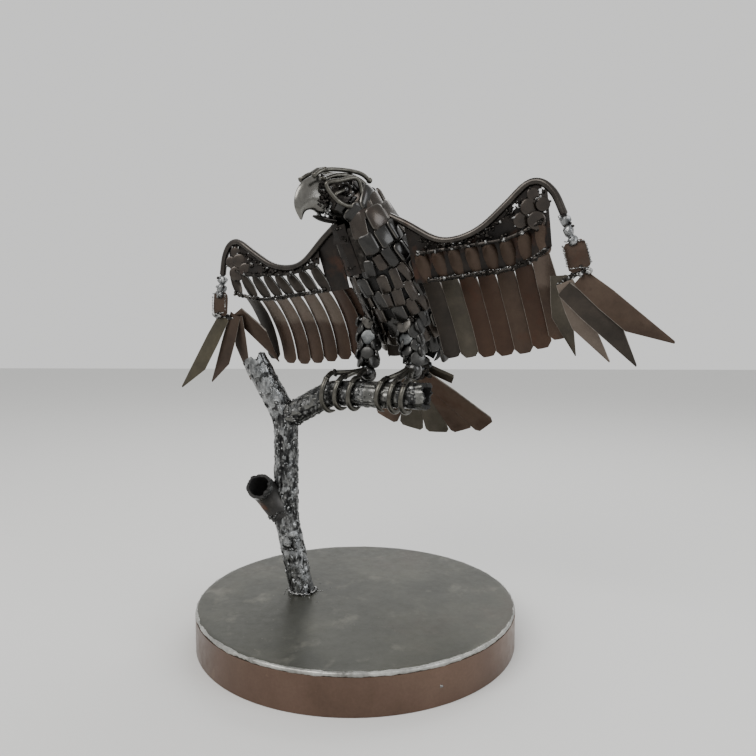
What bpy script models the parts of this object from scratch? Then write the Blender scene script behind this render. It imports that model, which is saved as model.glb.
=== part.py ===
"""Scrap metal eagle with half-raised wings, perched on a welded pipe branch that stands on a round
steel drum base. Sizes are in millimetres and the meshes are made in metres. The bird's own frame has
+X to its left, -Y ahead and +Z up, with its origin on the perch between the feet."""

import math

import bmesh
import bpy
from mathutils import Matrix, Vector

MM = 0.001
GAP = 0.3                     # clearance wherever two pieces meet
SMALLEST_PIECE = 1.0          # cubic millimetres; a crumb below this isn't kept

# Base drum
BASE_DIAMETER = 300.0
BASE_HEIGHT = 35.2
TOP_PLATE_THICKNESS = 3.0
TOP_PLATE_CHAMFER = 1.2
BAND_WALL = 3.0
BASE_SIDES = 56

# Branch: half-inch pipe under a skin of weld bead
PIPE_DIAMETER = 21.3
PIPE_BORE = 15.8
BARK_THICKNESS = 0.9
PIPE_SIDES = 12
BRANCH_FOOT = (-53.0, 12.8)
TRUNK_RISE = 69.0             # from the plate to the bend
TRUNK_HEIGHT = 170.5          # from the plate to the fork
STUB_RISE = 59.0              # from the fork to the ragged top
PERCH_HEIGHT = 199.0          # perch axis above the plate
PERCH_TURN = 28.0             # degrees that the perch and the bird turn
PERCH_LENGTH = 98.0           # level run
PERCH_RUN_UP = 52.0           # sloping run from the fork, seen from above
LOWER_STUB_LENGTH = 49.0

# Feather and body stock
SHEET = 1.5                   # feather strip thickness
STRIP_WIDTH = 17.0
TAIL_STRIP_WIDTH = 21.0
BELLY_STRIP_WIDTH = 14.0
ROD_DIAMETER = 6.4
TOE_DIAMETER = 4.6
COIN_DIAMETER = 15.5
COIN_THICKNESS = 2.4
ANKLE_BALL = 11.2
SCALE_THICKNESS = 2.6
SCALE_LIFT = 2.6              # how far a body plate's lower edge stands out

# Bird
FOOT_SPACING = 54.0
SECONDARIES = 7
OUTERMOST_SECONDARY = 149.4   # its place along the span
COVERTS = 8
COVERT_PITCH = 14.6
LEFT_PITCH = 16.2             # between feathers along the span
RIGHT_PITCH = 17.2
LEFT_DROP = 62.0              # from a secondary's root to its tip
RIGHT_DROP = 58.0
WING_DEPTH = 60.0             # from the wing's line down to the secondaries' roots
RIGHT_WING_RISE = 5.0         # how much higher the right wing's feathers hang
COVERT_HEIGHT = 24.5
HAND_LENGTH = 35.4            # part of the span, in from the outermost secondary, where the line rises
SECONDARY_SWEEP = 33.0        # how far the tips lie behind the roots
LOUVRE = 10.0                 # degrees that each strip turns out
WING_ROLL = 6.4               # degrees, the left wing higher
WING_SWEEP = 0.1              # backward share of the span
HEAD_TURN = 28.0              # degrees to the bird's right
TAIL_LENGTH = 83.0
TAIL_SLOPE = 57.0             # degrees below level

trunkRadius = PIPE_DIAMETER / 2 + BARK_THICKNESS
boreRadius = PIPE_BORE / 2
rodRadius = ROD_DIAMETER / 2
toeRadius = TOE_DIAMETER / 2
coinRadius = COIN_DIAMETER / 2

# Branch points in the base's frame
branchFoot = Vector((*BRANCH_FOOT, BASE_HEIGHT + GAP))
trunkBend = Vector((branchFoot.x - 14.3, branchFoot.y, BASE_HEIGHT + TRUNK_RISE))
fork = Vector((branchFoot.x - 14.9, branchFoot.y, BASE_HEIGHT + TRUNK_HEIGHT))
stubTop = fork + Vector((-0.517, 0, 1)) * STUB_RISE
perchLine = Vector((math.cos(math.radians(PERCH_TURN)), -math.sin(math.radians(PERCH_TURN)), 0))
perchBend = Vector((fork.x, fork.y, 0)) + perchLine * PERCH_RUN_UP
perchBend.z = BASE_HEIGHT + PERCH_HEIGHT - 2
perchEnd = perchBend + perchLine * PERCH_LENGTH + Vector((0, 0, 2.0))
birdPlace = perchBend + perchLine * 40.6 + Vector((0, 0, 1.0))

# Body centre line in the bird's frame: across, ahead, up, half width, half depth
BODY_LINE = (
    (-12, 8, 171, 18.5, 18.5),
    (-6, 1, 150, 26.0, 26.0),
    (1, -18, 122, 32.5, 30.0),
    (6, -40, 97, 36.0, 32.0),
    (8, -63, 70, 35.5, 30.5),
    (8, -81, 46, 31.0, 24.0),
    (4, -93, 24, 18.0, 12.5),
)
NECK_END = 0.18               # share of the body's line that is neck
HEAD_PLACE = (-13, 19, 170)
SKULL = (28.6, 46.0, 37.0)    # across, lengthwise and upright
BEAK_START = 23.5             # ahead of the head's place
WING_PLACE = (-8, 5, 149)
TAIL_ROOT = (0, -92, 15)

# Leading edge of a wing. The arm holds (share of the way from shoulder to wrist, up) and the hand holds
# (distance past the outermost secondary, up).
SHOULDER_OUT = 24.0
WRIST_INSET = 4.4             # from the outermost secondary in to the wrist's bend
ARM_LINE = ((0.0, 5), (0.1488, -6), (0.3471, -22.5), (0.5041, -25.5), (0.6777, -19.5), (0.8512, -5),
            (1.0, 8.5))
HAND_LINE = ((7.6, 8.5), (16.6, -1.5), (22.6, -19))

# Pointed feathers: root out, up; tip out, up; how far the tip lies behind; +1 where the point is outside.
# Out is counted from the outermost secondary.
LEFT_PRIMARIES = ((35.6, -75, 93.6, -125, 0, 1), (22.6, -82, 63.6, -141, 6, -1),
                  (19.6, -79, 42.6, -136, 18, 1), (12.6, -73, 14.6, -129, 27, 1))
RIGHT_PRIMARIES = ((34.6, -66, 104.6, -127, 2, 1), (18.6, -67, 67.6, -124, 10, 1),
                   (13.6, -69, 24.6, -126, 24, -1), (7.6, -64, -6.4, -110, 34, 1))

# Discs at the wrist: past the outermost secondary, up, radius
WRIST_DISCS = ((1.6, -21, 7.6), (-3.4, -9.5, 7.0), (-10.4, -19, 6.6), (7.6, -9, 5.8), (0.6, 0.2, 5.0))

# Leading edge in full: out along the span, up
wristOut = OUTERMOST_SECONDARY - WRIST_INSET
rodLine = [(SHOULDER_OUT + (wristOut - SHOULDER_OUT) * share, up) for share, up in ARM_LINE]
rodLine += [(OUTERMOST_SECONDARY + past, up) for past, up in HAND_LINE]

metals = {}


def metal(name, colour, roughness):
    """A Principled steel of this colour."""
    if name not in metals:
        made = bpy.data.materials.new(name)
        made.use_nodes = True
        shader = made.node_tree.nodes["Principled BSDF"]
        shader.inputs["Base Color"].default_value = (*colour, 1)
        shader.inputs["Roughness"].default_value = roughness
        shader.inputs["Metallic"].default_value = 1.0
        metals[name] = made
    return metals[name]


def plate_steel():
    return metal("plate_steel", (0.20, 0.21, 0.20), 0.5)


def band_steel():
    return metal("band_steel", (0.25, 0.23, 0.22), 0.45)


def weld_bark():
    return metal("weld_bark", (0.24, 0.24, 0.25), 0.4)


def rod_steel():
    return metal("rod_steel", (0.22, 0.21, 0.20), 0.35)


def feather_steel():
    return metal("feather_steel", (0.22, 0.16, 0.13), 0.5)


def scale_steel():
    return metal("scale_steel", (0.13, 0.12, 0.115), 0.4)


def coin_steel():
    return metal("coin_steel", (0.40, 0.42, 0.44), 0.25)


def beak_steel():
    return metal("beak_steel", (0.50, 0.49, 0.46), 0.4)


def empty(name, parent, place, turn=(0, 0, 0)):
    """A guide that carries the pieces of one limb."""
    made = bpy.data.objects.new(name, None)
    bpy.context.collection.objects.link(made)
    made.parent = parent
    made.location = Vector(place) * MM
    made.rotation_euler = [math.radians(a) for a in turn]
    return made


def finish(name, bm, material, parent, place=(0, 0, 0)):
    """Turn a mesh drawn in the parent's frame into a named object with its origin at place."""
    bmesh.ops.triangulate(bm, faces=bm.faces[:])
    bmesh.ops.recalc_face_normals(bm, faces=bm.faces[:])
    bmesh.ops.translate(bm, verts=bm.verts[:], vec=-Vector(place))
    bmesh.ops.scale(bm, verts=bm.verts[:], vec=(MM, MM, MM))
    mesh = bpy.data.meshes.new(name)
    bm.to_mesh(mesh)
    bm.free()
    mesh.materials.append(material)
    mesh.shade_smooth()
    mesh.set_sharp_from_angle(angle=math.radians(35))
    made = bpy.data.objects.new(name, mesh)
    bpy.context.collection.objects.link(made)
    made.parent = parent
    made.location = Vector(place) * MM
    return made


def smooth_line(points, steps):
    """Points along a smooth curve through the given ones."""
    points = [Vector(p) for p in points]
    padded = [2 * points[0] - points[1], *points, 2 * points[-1] - points[-2]]
    line = []
    for a, b, c, d in zip(padded, padded[1:], padded[2:], padded[3:]):
        for step in range(steps):
            t = step / steps
            line.append(0.5 * (2 * b + (c - a) * t + (2 * a - 5 * b + 4 * c - d) * t * t
                               + (3 * b - a - 3 * c + d) * t * t * t))
    line.append(points[-1])
    return line


def frames_along(line):
    """Tangent, side and up at each point of a line, turning as little as they can."""
    tangents = []
    for i, point in enumerate(line):
        ahead = line[min(i + 1, len(line) - 1)]
        behind = line[max(i - 1, 0)]
        tangents.append((ahead - behind).normalized())
    start = Vector((0, 0, 1)) if abs(tangents[0].z) < 0.8 else Vector((0, 1, 0))
    side = tangents[0].cross(start).normalized()
    frames = []
    for tangent in tangents:
        side = (side - tangent * side.dot(tangent)).normalized()
        frames.append((tangent, side, side.cross(tangent)))
    return frames


def ring(bm, centre, side, up, across, deep, sides):
    """One open ring of edges round a centre."""
    verts = []
    for k in range(sides):
        angle = 2 * math.pi * k / sides
        verts.append(bm.verts.new(centre + side * across * math.cos(angle) + up * deep * math.sin(angle)))
    for k in range(sides):
        bm.edges.new((verts[k], verts[(k + 1) % sides]))
    return verts


def join_rings(bm, first, second):
    """Quads between two rings that match point for point."""
    for k in range(len(first)):
        n = (k + 1) % len(first)
        bm.faces.new((first[k], first[n], second[n], second[k]))


def tube(line, radii, sides):
    """A closed round bar along a line."""
    bm = bmesh.new()
    line = [Vector(p) for p in line]
    rings = []
    for point, radius, (_, side, up) in zip(line, radii, frames_along(line)):
        rings.append(ring(bm, point, side, up, radius, radius, sides))
    for first, second in zip(rings, rings[1:]):
        join_rings(bm, first, second)
    bm.faces.new(rings[0])
    bm.faces.new(list(reversed(rings[-1])))
    return bm


def jag(index, depth):
    """How far one point of a torn pipe end stands in from the longest tooth."""
    return depth * (0.5 + 0.5 * math.cos(2.4 * index)) * (0.4 + 0.6 * (index % 2))


def pipe(line, outer, inner, sides, torn=0.0):
    """An open pipe along a line, cut level at its foot; torn is the depth of the teeth at its far end."""
    bm = bmesh.new()
    line = [Vector(p) for p in line]
    skins = []
    for radius in (outer, inner):
        rings = []
        for point, (tangent, side, up) in zip(line, frames_along(line)):
            rings.append(ring(bm, point, side, up, radius, radius, sides))
        frames = frames_along(line)
        if abs(frames[0][0].z) > 0.9:
            for vert in rings[0]:
                vert.co.z = line[0].z
        for k, vert in enumerate(rings[-1]):
            vert.co -= frames[-1][0] * jag(k, torn)
        for first, second in zip(rings, rings[1:]):
            join_rings(bm, first, second)
        skins.append(rings)
    join_rings(bm, skins[0][0], skins[1][0])
    join_rings(bm, skins[0][-1], skins[1][-1])
    bmesh.ops.recalc_face_normals(bm, faces=bm.faces[:])
    return bm


def combine(bodies, operation="UNION"):
    """One closed body from several by a Boolean; for a cut, the first body is what is cut."""
    holders = []
    group = bpy.data.collections.new("operands")
    for bm in bodies:
        bmesh.ops.recalc_face_normals(bm, faces=bm.faces[:])
        mesh = bpy.data.meshes.new("operand")
        bm.to_mesh(mesh)
        bm.free()
        holders.append(bpy.data.objects.new("operand", mesh))
    bpy.context.collection.objects.link(holders[0])
    for holder in holders[1:]:
        group.objects.link(holder)
    cut = holders[0].modifiers.new("join", "BOOLEAN")
    cut.operation = operation
    cut.solver = "EXACT"
    cut.operand_type = "COLLECTION"
    cut.collection = group
    depsgraph = bpy.context.evaluated_depsgraph_get()
    mesh = bpy.data.meshes.new_from_object(holders[0].evaluated_get(depsgraph))
    result = bmesh.new()
    result.from_mesh(mesh)
    for holder in holders:
        bpy.data.objects.remove(holder)
    bpy.data.collections.remove(group)
    bmesh.ops.remove_doubles(result, verts=result.verts[:], dist=0.004)
    bmesh.ops.dissolve_limit(result, angle_limit=math.radians(0.3), verts=result.verts[:],
                             edges=result.edges[:])
    drop_crumbs(result)
    return result


def drop_crumbs(bm):
    """Fill the sealed pockets that joined plates close in, and drop crumbs left by a cut."""
    left = set(bm.faces)
    while left:
        island = {left.pop()}
        edge = list(island)
        while edge:
            near = {f for e in edge.pop().edges for f in e.link_faces if f in left}
            left -= near
            island |= near
            edge += near
        volume = 0.0
        for face in island:
            a = face.verts[0].co
            for b, c in zip(face.verts[1:], face.verts[2:]):
                volume += a.dot(b.co.cross(c.co)) / 6
        if volume < SMALLEST_PIECE:
            bmesh.ops.delete(bm, geom=list(island), context="FACES")


def blade(root, tip, facing, widths, thickness, bow=0.0):
    """A bent strip. widths holds (share of length, width to one side, width to the other)."""
    bm = bmesh.new()
    root, tip, facing = Vector(root), Vector(tip), Vector(facing)
    lie = (tip - root).normalized()
    across = lie.cross(facing).normalized()
    out = across.cross(lie).normalized()
    sections = []
    for share, near, far in widths:
        arch = bow * 4 * share * (1 - share)
        slope = bow * 4 * (1 - 2 * share) / (tip - root).length
        middle = root.lerp(tip, share) - out * arch
        normal = (out + lie * slope).normalized()
        corners = []
        for reach, lift in ((-near, 0.5), (far, 0.5), (far, -0.5), (-near, -0.5)):
            corners.append(bm.verts.new(middle + across * reach + normal * thickness * lift))
        sections.append(corners)
    for first, second in zip(sections, sections[1:]):
        join_rings(bm, first, second)
    bm.faces.new(sections[0])
    bm.faces.new(list(reversed(sections[-1])))
    bmesh.ops.recalc_face_normals(bm, faces=bm.faces[:])
    return bm


def disc(centre, facing, radius, thickness, sides=10):
    """A coin-like disc."""
    bm = bmesh.new()
    turn = Vector(facing).normalized().to_track_quat("Z", "Y").to_matrix().to_4x4()
    bmesh.ops.create_cone(bm, cap_ends=True, segments=sides, radius1=radius, radius2=radius,
                          depth=thickness, matrix=Matrix.Translation(centre) @ turn)
    return bm


def lump(centre, size, turn=0.0):
    """A rounded knot of weld or a ball."""
    bm = bmesh.new()
    place = Matrix.Translation(centre) @ Matrix.Rotation(turn, 4, "Z")
    bmesh.ops.create_icosphere(bm, subdivisions=1, radius=1.0)
    bmesh.ops.scale(bm, verts=bm.verts[:], vec=size)
    bmesh.ops.transform(bm, verts=bm.verts[:], matrix=place)
    return bm


# Base

def make_base(root):
    sides = BASE_SIDES
    bandTop = BASE_HEIGHT - TOP_PLATE_THICKNESS - GAP
    radius = BASE_DIAMETER / 2
    band = pipe([(0, 0, 0), (0, 0, bandTop)], radius, radius - BAND_WALL, sides)
    finish("base_band", band, band_steel(), root)
    plate = tube([(0, 0, BASE_HEIGHT - TOP_PLATE_THICKNESS), (0, 0, BASE_HEIGHT - TOP_PLATE_CHAMFER),
                  (0, 0, BASE_HEIGHT)], (radius, radius, radius - TOP_PLATE_CHAMFER), sides)
    finish("base_top_plate", plate, plate_steel(), root, (0, 0, BASE_HEIGHT))


# Branch

def trunk_line():
    """The trunk's axis from the plate to the ragged top, with eased bends."""
    return [branchFoot, branchFoot.lerp(trunkBend, 0.85), trunkBend + Vector((-0.5, 0, 6)),
            trunkBend.lerp(fork, 0.5), fork - Vector((0, 0, 9)), fork.lerp(stubTop, 0.12),
            fork.lerp(stubTop, 0.55), stubTop]


def make_branch(root):
    line = trunk_line()
    trunk = pipe(line, trunkRadius, boreRadius, PIPE_SIDES, torn=6.0)
    finish("trunk_pipe", trunk, weld_bark(), root, branchFoot)

    room = [trunkRadius + GAP] * len(line)
    perchAxis = [fork.lerp(perchBend, 0.0), fork.lerp(perchBend, 0.85),
                 perchBend + perchLine * 5, perchBend.lerp(perchEnd, 0.5), perchEnd]
    perch = pipe(perchAxis, trunkRadius, boreRadius, PIPE_SIDES, torn=5.0)
    perch = combine([perch, tube(line, room, PIPE_SIDES)], "DIFFERENCE")
    finish("perch_pipe", perch, weld_bark(), root, perchBend)

    start = trunkBend + Vector((0.5, 0, 1.5))
    lean = Vector((-0.57, -0.12, 0.82)).normalized()
    stubAxis = [start, start + lean * LOWER_STUB_LENGTH * 0.6, start + lean * LOWER_STUB_LENGTH]
    stub = pipe(stubAxis, trunkRadius + 0.8, boreRadius + 1.2, PIPE_SIDES, torn=5.5)
    stub = combine([stub, tube(line, room, PIPE_SIDES)], "DIFFERENCE")
    finish("lower_stub_pipe", stub, weld_bark(), root, start)


# Feet and legs, in the bird's frame

def make_foot(name, side, bird, toes, ankle):
    """Toe rods bent over the perch from the ankle behind it; toes holds each one's place along the
    perch, the angle at which its claw ends and how far it stands off."""
    middle = side * FOOT_SPACING / 2
    bodies = []
    for offset, last, off in toes:
        reach = (trunkRadius + GAP + toeRadius + off) / math.cos(math.radians(15.5))
        x = middle + offset
        points = [Vector(ankle), Vector((ankle[0] * 0.45 + x * 0.55, 13.0, 17.5))]
        for step in range(8):
            angle = math.radians(104 - (104 + last) * step / 7)
            points.append(Vector((x + 1.2 * math.sin(step), -reach * math.cos(angle),
                                  reach * math.sin(angle))))
        radii = [toeRadius] * (len(points) - 1) + [toeRadius * 0.55]
        bodies.append(tube(points, radii, 5))
    bodies.append(lump(ankle, [ANKLE_BALL / 2] * 3, 0.3))
    bodies.append(disc(Vector(ankle) + Vector((0, -1.5, -3.4)), (0.2, -1, 0.1), 8.4, 3.4, 9))
    finish(name, combine(bodies), coin_steel(), bird, ankle)


def make_leg(name, side, bird, hip, ankle):
    """A column of coin-like discs that overlap downwards, in front, behind and at the sides."""
    hip = Vector(hip)
    low = Vector(ankle) + Vector((0, 0, ANKLE_BALL / 2 + GAP + coinRadius * 0.92))
    bodies = [tube([hip, hip.lerp(low, 0.97)], (5.3, 3.7), 6)]
    for row in range(4):
        share = row / 3
        centre = hip.lerp(low, share)
        size = coinRadius * (1 - 0.12 * share)
        for k, turn in enumerate((3, 122, 239)[:3 - row % 2]):
            angle = math.radians(turn + 21 * (row % 2) - 14 * side)
            away = Vector((math.sin(angle), -math.cos(angle), 0))
            tilt = (away + Vector((0, 0, 0.40 + 0.03 * k))).normalized()
            spot = centre + away * (4.7 - 0.8 * share - 0.13 * k)
            bodies.append(disc(spot, tilt, size - 0.2 * k, COIN_THICKNESS, 7))
    leg = combine([combine(bodies), body_mould(2 * GAP)], "DIFFERENCE")
    finish(name, leg, coin_steel(), bird, hip)


# Body plates

def body_at(t):
    """Centre, half width, half depth and the frame of the body at t, from 0 at the neck to 1."""
    span = t * (len(BODY_LINE) - 1)
    i = min(max(int(span), 0), len(BODY_LINE) - 2)
    u = span - i

    def knot(k):
        k = min(max(k, 0), len(BODY_LINE) - 1)
        x, ahead, z, wide, deep = BODY_LINE[k]
        return (x, -ahead, z, wide, deep)

    a, b, c, d = knot(i - 1), knot(i), knot(i + 1), knot(i + 2)
    value = []
    slope = []
    for p, q, r, s in zip(a, b, c, d):
        value.append(0.5 * (2 * q + (r - p) * u + (2 * p - 5 * q + 4 * r - s) * u * u
                            + (3 * q - p - 3 * r + s) * u ** 3))
        slope.append(0.5 * ((r - p) + 2 * (2 * p - 5 * q + 4 * r - s) * u
                            + 3 * (3 * q - p - 3 * r + s) * u * u))
    along = Vector(slope[:3]).normalized()
    left = Vector((1, 0, 0))
    left = (left - along * left.dot(along)).normalized()
    back = left.cross(along).normalized()
    if back.y < 0:
        back = -back
    return Vector(value[:3]), value[3], value[4], left, back


def body_point(t, degrees, lift):
    """A point on the body: 0 degrees is the back, 90 its left and 180 its breast."""
    centre, wide, deep, left, back = body_at(t)
    angle = math.radians(degrees)
    away = left * math.sin(angle) / wide + back * math.cos(angle) / deep
    return centre + left * wide * math.sin(angle) + back * deep * math.cos(angle) + away.normalized() * lift


def body_mould(clearance):
    """The solid that the body fills with this much room round it, for trimming what meets it."""
    bm = bmesh.new()
    rings = []
    for step in range(13):
        verts = [bm.verts.new(body_point(step / 12, 20 * k, SCALE_LIFT + clearance))
                 for k in range(18)]
        rings.append(verts)
    for first, second in zip(rings, rings[1:]):
        join_rings(bm, first, second)
    bm.faces.new(rings[0])
    bm.faces.new(list(reversed(rings[-1])))
    return bm


def plated_shell(name, bird, span, turn, rows, columns):
    """A curved shell of shingled plates between two angles and two places along the body."""
    start, end = span
    first, last = turn
    bm = bmesh.new()
    tall, wide = 2 * rows, 2 * columns
    width = (last - first) / columns
    length = (end - start) / (rows + 0.5)
    skins = []
    for inner in (False, True):
        grid = bmesh.ops.create_grid(bm, x_segments=wide - 1, y_segments=tall - 1, size=1)["verts"]
        for index, vert in enumerate(grid):
            down, across = divmod(index, wide)
            column, row = across // 2, down // 2
            t = start + length * (row + 0.5 * (column % 2) + (0.96 if down % 2 else 0.0))
            if down in (0, tall - 1):
                t = end if down else start
            degrees = first + width * (column + (0.95 if across % 2 else 0.05))
            out = -SCALE_THICKNESS if inner else (SCALE_LIFT if down % 2 else 0.0)
            vert.co = body_point(t, degrees, out)
        skins.append(grid)
    rim = [(0, k) for k in range(wide)] + [(k, wide - 1) for k in range(1, tall)]
    rim += [(tall - 1, k) for k in range(wide - 2, -1, -1)] + [(k, 0) for k in range(tall - 2, 0, -1)]
    outer = [skins[0][r * wide + c] for r, c in rim]
    under = [skins[1][r * wide + c] for r, c in rim]
    join_rings(bm, outer, under)
    if start < NECK_END:
        skull = skull_form(2 * GAP)
        x, ahead, z = HEAD_PLACE
        place = Matrix.Translation((x, -ahead, z)) @ Matrix.Rotation(math.radians(-HEAD_TURN), 4, "Z")
        bmesh.ops.transform(skull, verts=skull.verts[:], matrix=place)
        bm = combine([bm, skull], "DIFFERENCE")
    finish(name, bm, scale_steel(), bird, body_at((start + end) / 2)[0])


def make_body(bird):
    seam = 0.6                # degrees
    top = NECK_END + 0.004
    plated_shell("back_plates", bird, (top, 0.97), (-46 + seam, 46 - seam), 6, 4)
    plated_shell("left_flank_plates", bird, (top, 0.92), (46, 118 - seam), 6, 3)
    plated_shell("right_flank_plates", bird, (top, 0.92), (-118 + seam, -46), 6, 3)
    plated_shell("left_breast_plates", bird, (top, 0.80), (118 + seam, 176 - seam), 5, 3)
    plated_shell("right_breast_plates", bird, (0.26, 0.80), (176, 242 - seam), 4, 3)
    plated_shell("nape_plates", bird, (0.0, NECK_END), (-52 + seam, 52 - seam), 2, 3)
    plated_shell("left_neck_plates", bird, (0.0, NECK_END), (52, 160), 2, 3)
    plated_shell("right_neck_plates", bird, (0.04, NECK_END), (-136, -52), 2, 2)


def make_belly_feather(bird):
    """A short strip that hangs from the belly between the legs."""
    root, tip = Vector((-1, 43, 60)), Vector((-1, 50, 33))
    strip = blade(root, tip, (0.2, -1, 0), blunt(BELLY_STRIP_WIDTH), SHEET)
    strip = combine([strip, body_mould(GAP)], "DIFFERENCE")
    finish("belly_feather", strip, feather_steel(), bird, tip)


def make_throat(bird):
    left = blade((-13, -31, 146), (-6, -13, 108), (0.2, -1, 0.3), straight(8), 3.0)
    right = blade((-21, -29, 147), (-14, -11.5, 107), (-0.35, -1, 0.3), straight(8), 3.0)
    strap = blade((-7, -26.2, 136), (-23, -24.3, 136), (0, -1, 0.3), straight(5), 3.4)
    bars = combine([combine([left, right, strap]), body_mould(GAP)], "DIFFERENCE")
    finish("throat_bars", bars, scale_steel(), bird, (-16, -26, 136))


def straight(width):
    """Widths of a plain bar."""
    return ((0, width / 2, width / 2), (1, width / 2, width / 2))


# Head, drawn in its own frame with -Y ahead

def skull_form(room):
    """The egg of the head, cut off where the beak starts, with this much room round it."""
    skull = bmesh.new()
    wide, deep, tall = SKULL
    bmesh.ops.create_uvsphere(skull, u_segments=12, v_segments=8, radius=1.0)
    bmesh.ops.scale(skull, verts=skull.verts[:], vec=(wide / 2 + room, deep / 2 + room, tall / 2 + room))
    bmesh.ops.translate(skull, verts=skull.verts[:], vec=(0, -4.5, 0))
    geometry = skull.verts[:] + skull.edges[:] + skull.faces[:]
    bmesh.ops.bisect_plane(skull, geom=geometry, plane_co=(0, -BEAK_START, 0), plane_no=(0, -1, 0),
                           clear_outer=True)
    bmesh.ops.holes_fill(skull, edges=[e for e in skull.edges if e.is_boundary], sides=0)
    return skull


def make_head(bird):
    x, ahead, z = HEAD_PLACE
    head = empty("head_frame", bird, (x, -ahead, z), (0, 0, -HEAD_TURN))
    finish("head_shell", skull_form(0), scale_steel(), head)

    line = [(0, -BEAK_START - GAP, 3.0), (0, -31, 3.0), (0, -38.5, 0.5), (0, -43.5, -5.0), (0, -45.8, -12.5),
            (0, -44.6, -21.5)]
    beak = bmesh.new()
    rings = []
    for point, wide, deep, nod in zip(line, (7.0, 6.6, 5.6, 4.2, 2.7, 0.8), (14.0, 13.2, 10.6, 7.6, 4.6, 1.1),
                                      (0, 10, 32, 56, 74, 84)):
        tip = math.radians(nod)
        up = Vector((0, -math.sin(tip), math.cos(tip)))
        rings.append(ring(beak, Vector(point), Vector((1, 0, 0)), up, wide, deep, 8))
    for first, second in zip(rings, rings[1:]):
        join_rings(beak, first, second)
    beak.faces.new(rings[0])
    beak.faces.new(list(reversed(rings[-1])))
    finish("beak", beak, beak_steel(), head, line[0])

    jaw = blade((0, -13.5, -19.8), (0, -33, -16.2), (0, 0, 1), ((0, 5.5, 5.5), (0.7, 4.2, 4.2), (1, 1.5, 1.5)),
                4.4, bow=1.2)
    finish("lower_mandible", jaw, scale_steel(), head, (0, -13.5, -20))

    for name, side in (("left_eye", 1), ("right_eye", -1)):
        make_eye(name, side, head)
    make_brows(head)


def make_eye(name, side, head):
    """A bent rod ring round a nut."""
    outline = [(30, 11), (15, 13.5), (1, 15.5), (-3, 8), (-3.5, -1), (7, -7), (20, -2)]
    line = []
    for ahead, z in outline:
        x = 17.2 - 0.006 * (ahead - 6) ** 2
        line.append(Vector((side * x, -ahead, z)))
    loop = bmesh.new()
    rings = []
    for k, point in enumerate(line):
        along = (line[(k + 1) % len(line)] - line[k - 1]).normalized()
        out = Vector((side, 0, 0))
        rings.append(ring(loop, point, out, along.cross(out), 1.9, 1.9, 6))
    for k in range(len(rings)):
        join_rings(loop, rings[k - 1], rings[k])
    nut = disc((side * 16.6, -11, 4), (side, -0.15, 0), 5.2, 4.2, 6)
    strut = tube([(side * 16.2, -11, 4), (side * 15.8, -20, 0), (side * 15.6, -20.5, -1.5)], (1.6, 1.6, 1.6), 5)
    finish(name, combine([loop, nut, strut]), rod_steel(), head, (side * 16, -11, 4))


def make_brows(head):
    """Rods bent over the brows, tied by a cross rod behind the beak."""
    bodies = []
    for side in (1, -1):
        line = smooth_line([(side * 11.5, -38.0, 13.5), (side * 11.0, -29.0, 19.5), (side * 10.5, -10, 21.5),
                            (side * 9.0, 8, 20.5), (side * 8.0, 17.5, 15.5)], 1)
        bodies.append(tube(line, [1.9] * len(line), 6))
    bodies.append(tube([(12.5, -28.0, 19.8), (0, -28.5, 21.2), (-12.5, -28.0, 19.8)], (2.1, 2.1, 2.1), 6))
    bodies.append(tube([(10.5, -1.0, 21.0), (0, -1, 20.6), (-10.5, -1.0, 21.0)], (1.8, 1.8, 1.8), 6))
    finish("brow_rods", combine(bodies), rod_steel(), head, (0, -10, 21))


# Wings, drawn with +X out along the left wing and mirrored for the right

def wing_point(side, out, up, behind=0.0):
    """A point of a wing: out along the span, up, and behind the leading edge's sweep."""
    return Vector((side * out, WING_SWEEP * out + behind, up))


def louvre_facing(side, turn, pitch=0.0):
    """The way a strip's face looks."""
    angle = math.radians(turn)
    return Vector((side * math.sin(angle), -math.cos(angle), pitch))


def blunt(width):
    """Widths of a strip with two clipped corners at its tip."""
    half = width / 2
    return ((0, half * 0.86, half * 0.86), (0.3, half, half), (0.62, half, half), (0.94, half, half),
            (1, half * 0.55, half * 0.55))


def pointed(width, outside, cut):
    """Widths of a strip cut to a point on one side, from cut of its length on."""
    half = width / 2
    near, far = (half, -half + 0.9) if outside > 0 else (-half + 0.9, half)
    return ((0, half * 0.8, half * 0.8), (0.3, half, half), (cut, half, half), (1, near, far))


def wing_mould(wing):
    """The body's mould in a wing's frame."""
    mould = body_mould(2 * GAP)
    bmesh.ops.scale(mould, verts=mould.verts[:], vec=(MM, MM, MM))
    bmesh.ops.transform(mould, verts=mould.verts[:], matrix=wing.matrix_basis.inverted())
    bmesh.ops.scale(mould, verts=mould.verts[:], vec=(1 / MM, 1 / MM, 1 / MM))
    return mould


def make_wing(name, side, wing, primaries):
    line = smooth_line([wing_point(side, out, up) for out, up in rodLine], 2)
    rod = tube(line, [rodRadius] * len(line), 7)
    finish(name + "_wing_rod", combine([rod, wing_mould(wing)], "DIFFERENCE"), rod_steel(), wing, line[-1])
    make_coverts(name, side, wing, wing_mould(wing))
    make_secondaries(name, side, wing)
    make_primaries(name, side, wing, primaries)
    make_wrist(name, side, wing)


def secondary_root(side, k):
    """Where feather k starts: out, up and behind; k counts from the body."""
    pitch = LEFT_PITCH if side > 0 else RIGHT_PITCH
    out = OUTERMOST_SECONDARY - pitch * (SECONDARIES - 1 - k) - (3.0 if side < 0 else 0.0)
    return out, *feather_line(side, out)


def feather_line(side, out):
    """Height and setback of the line that the secondaries hang from, this far out."""
    rise = 0.006 * max(0.0, out - (OUTERMOST_SECONDARY - HAND_LENGTH)) ** 2
    lift = RIGHT_WING_RISE if side < 0 else 0.0
    return lift + rise - WING_DEPTH, 15.0 - 1.1 * rise


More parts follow.
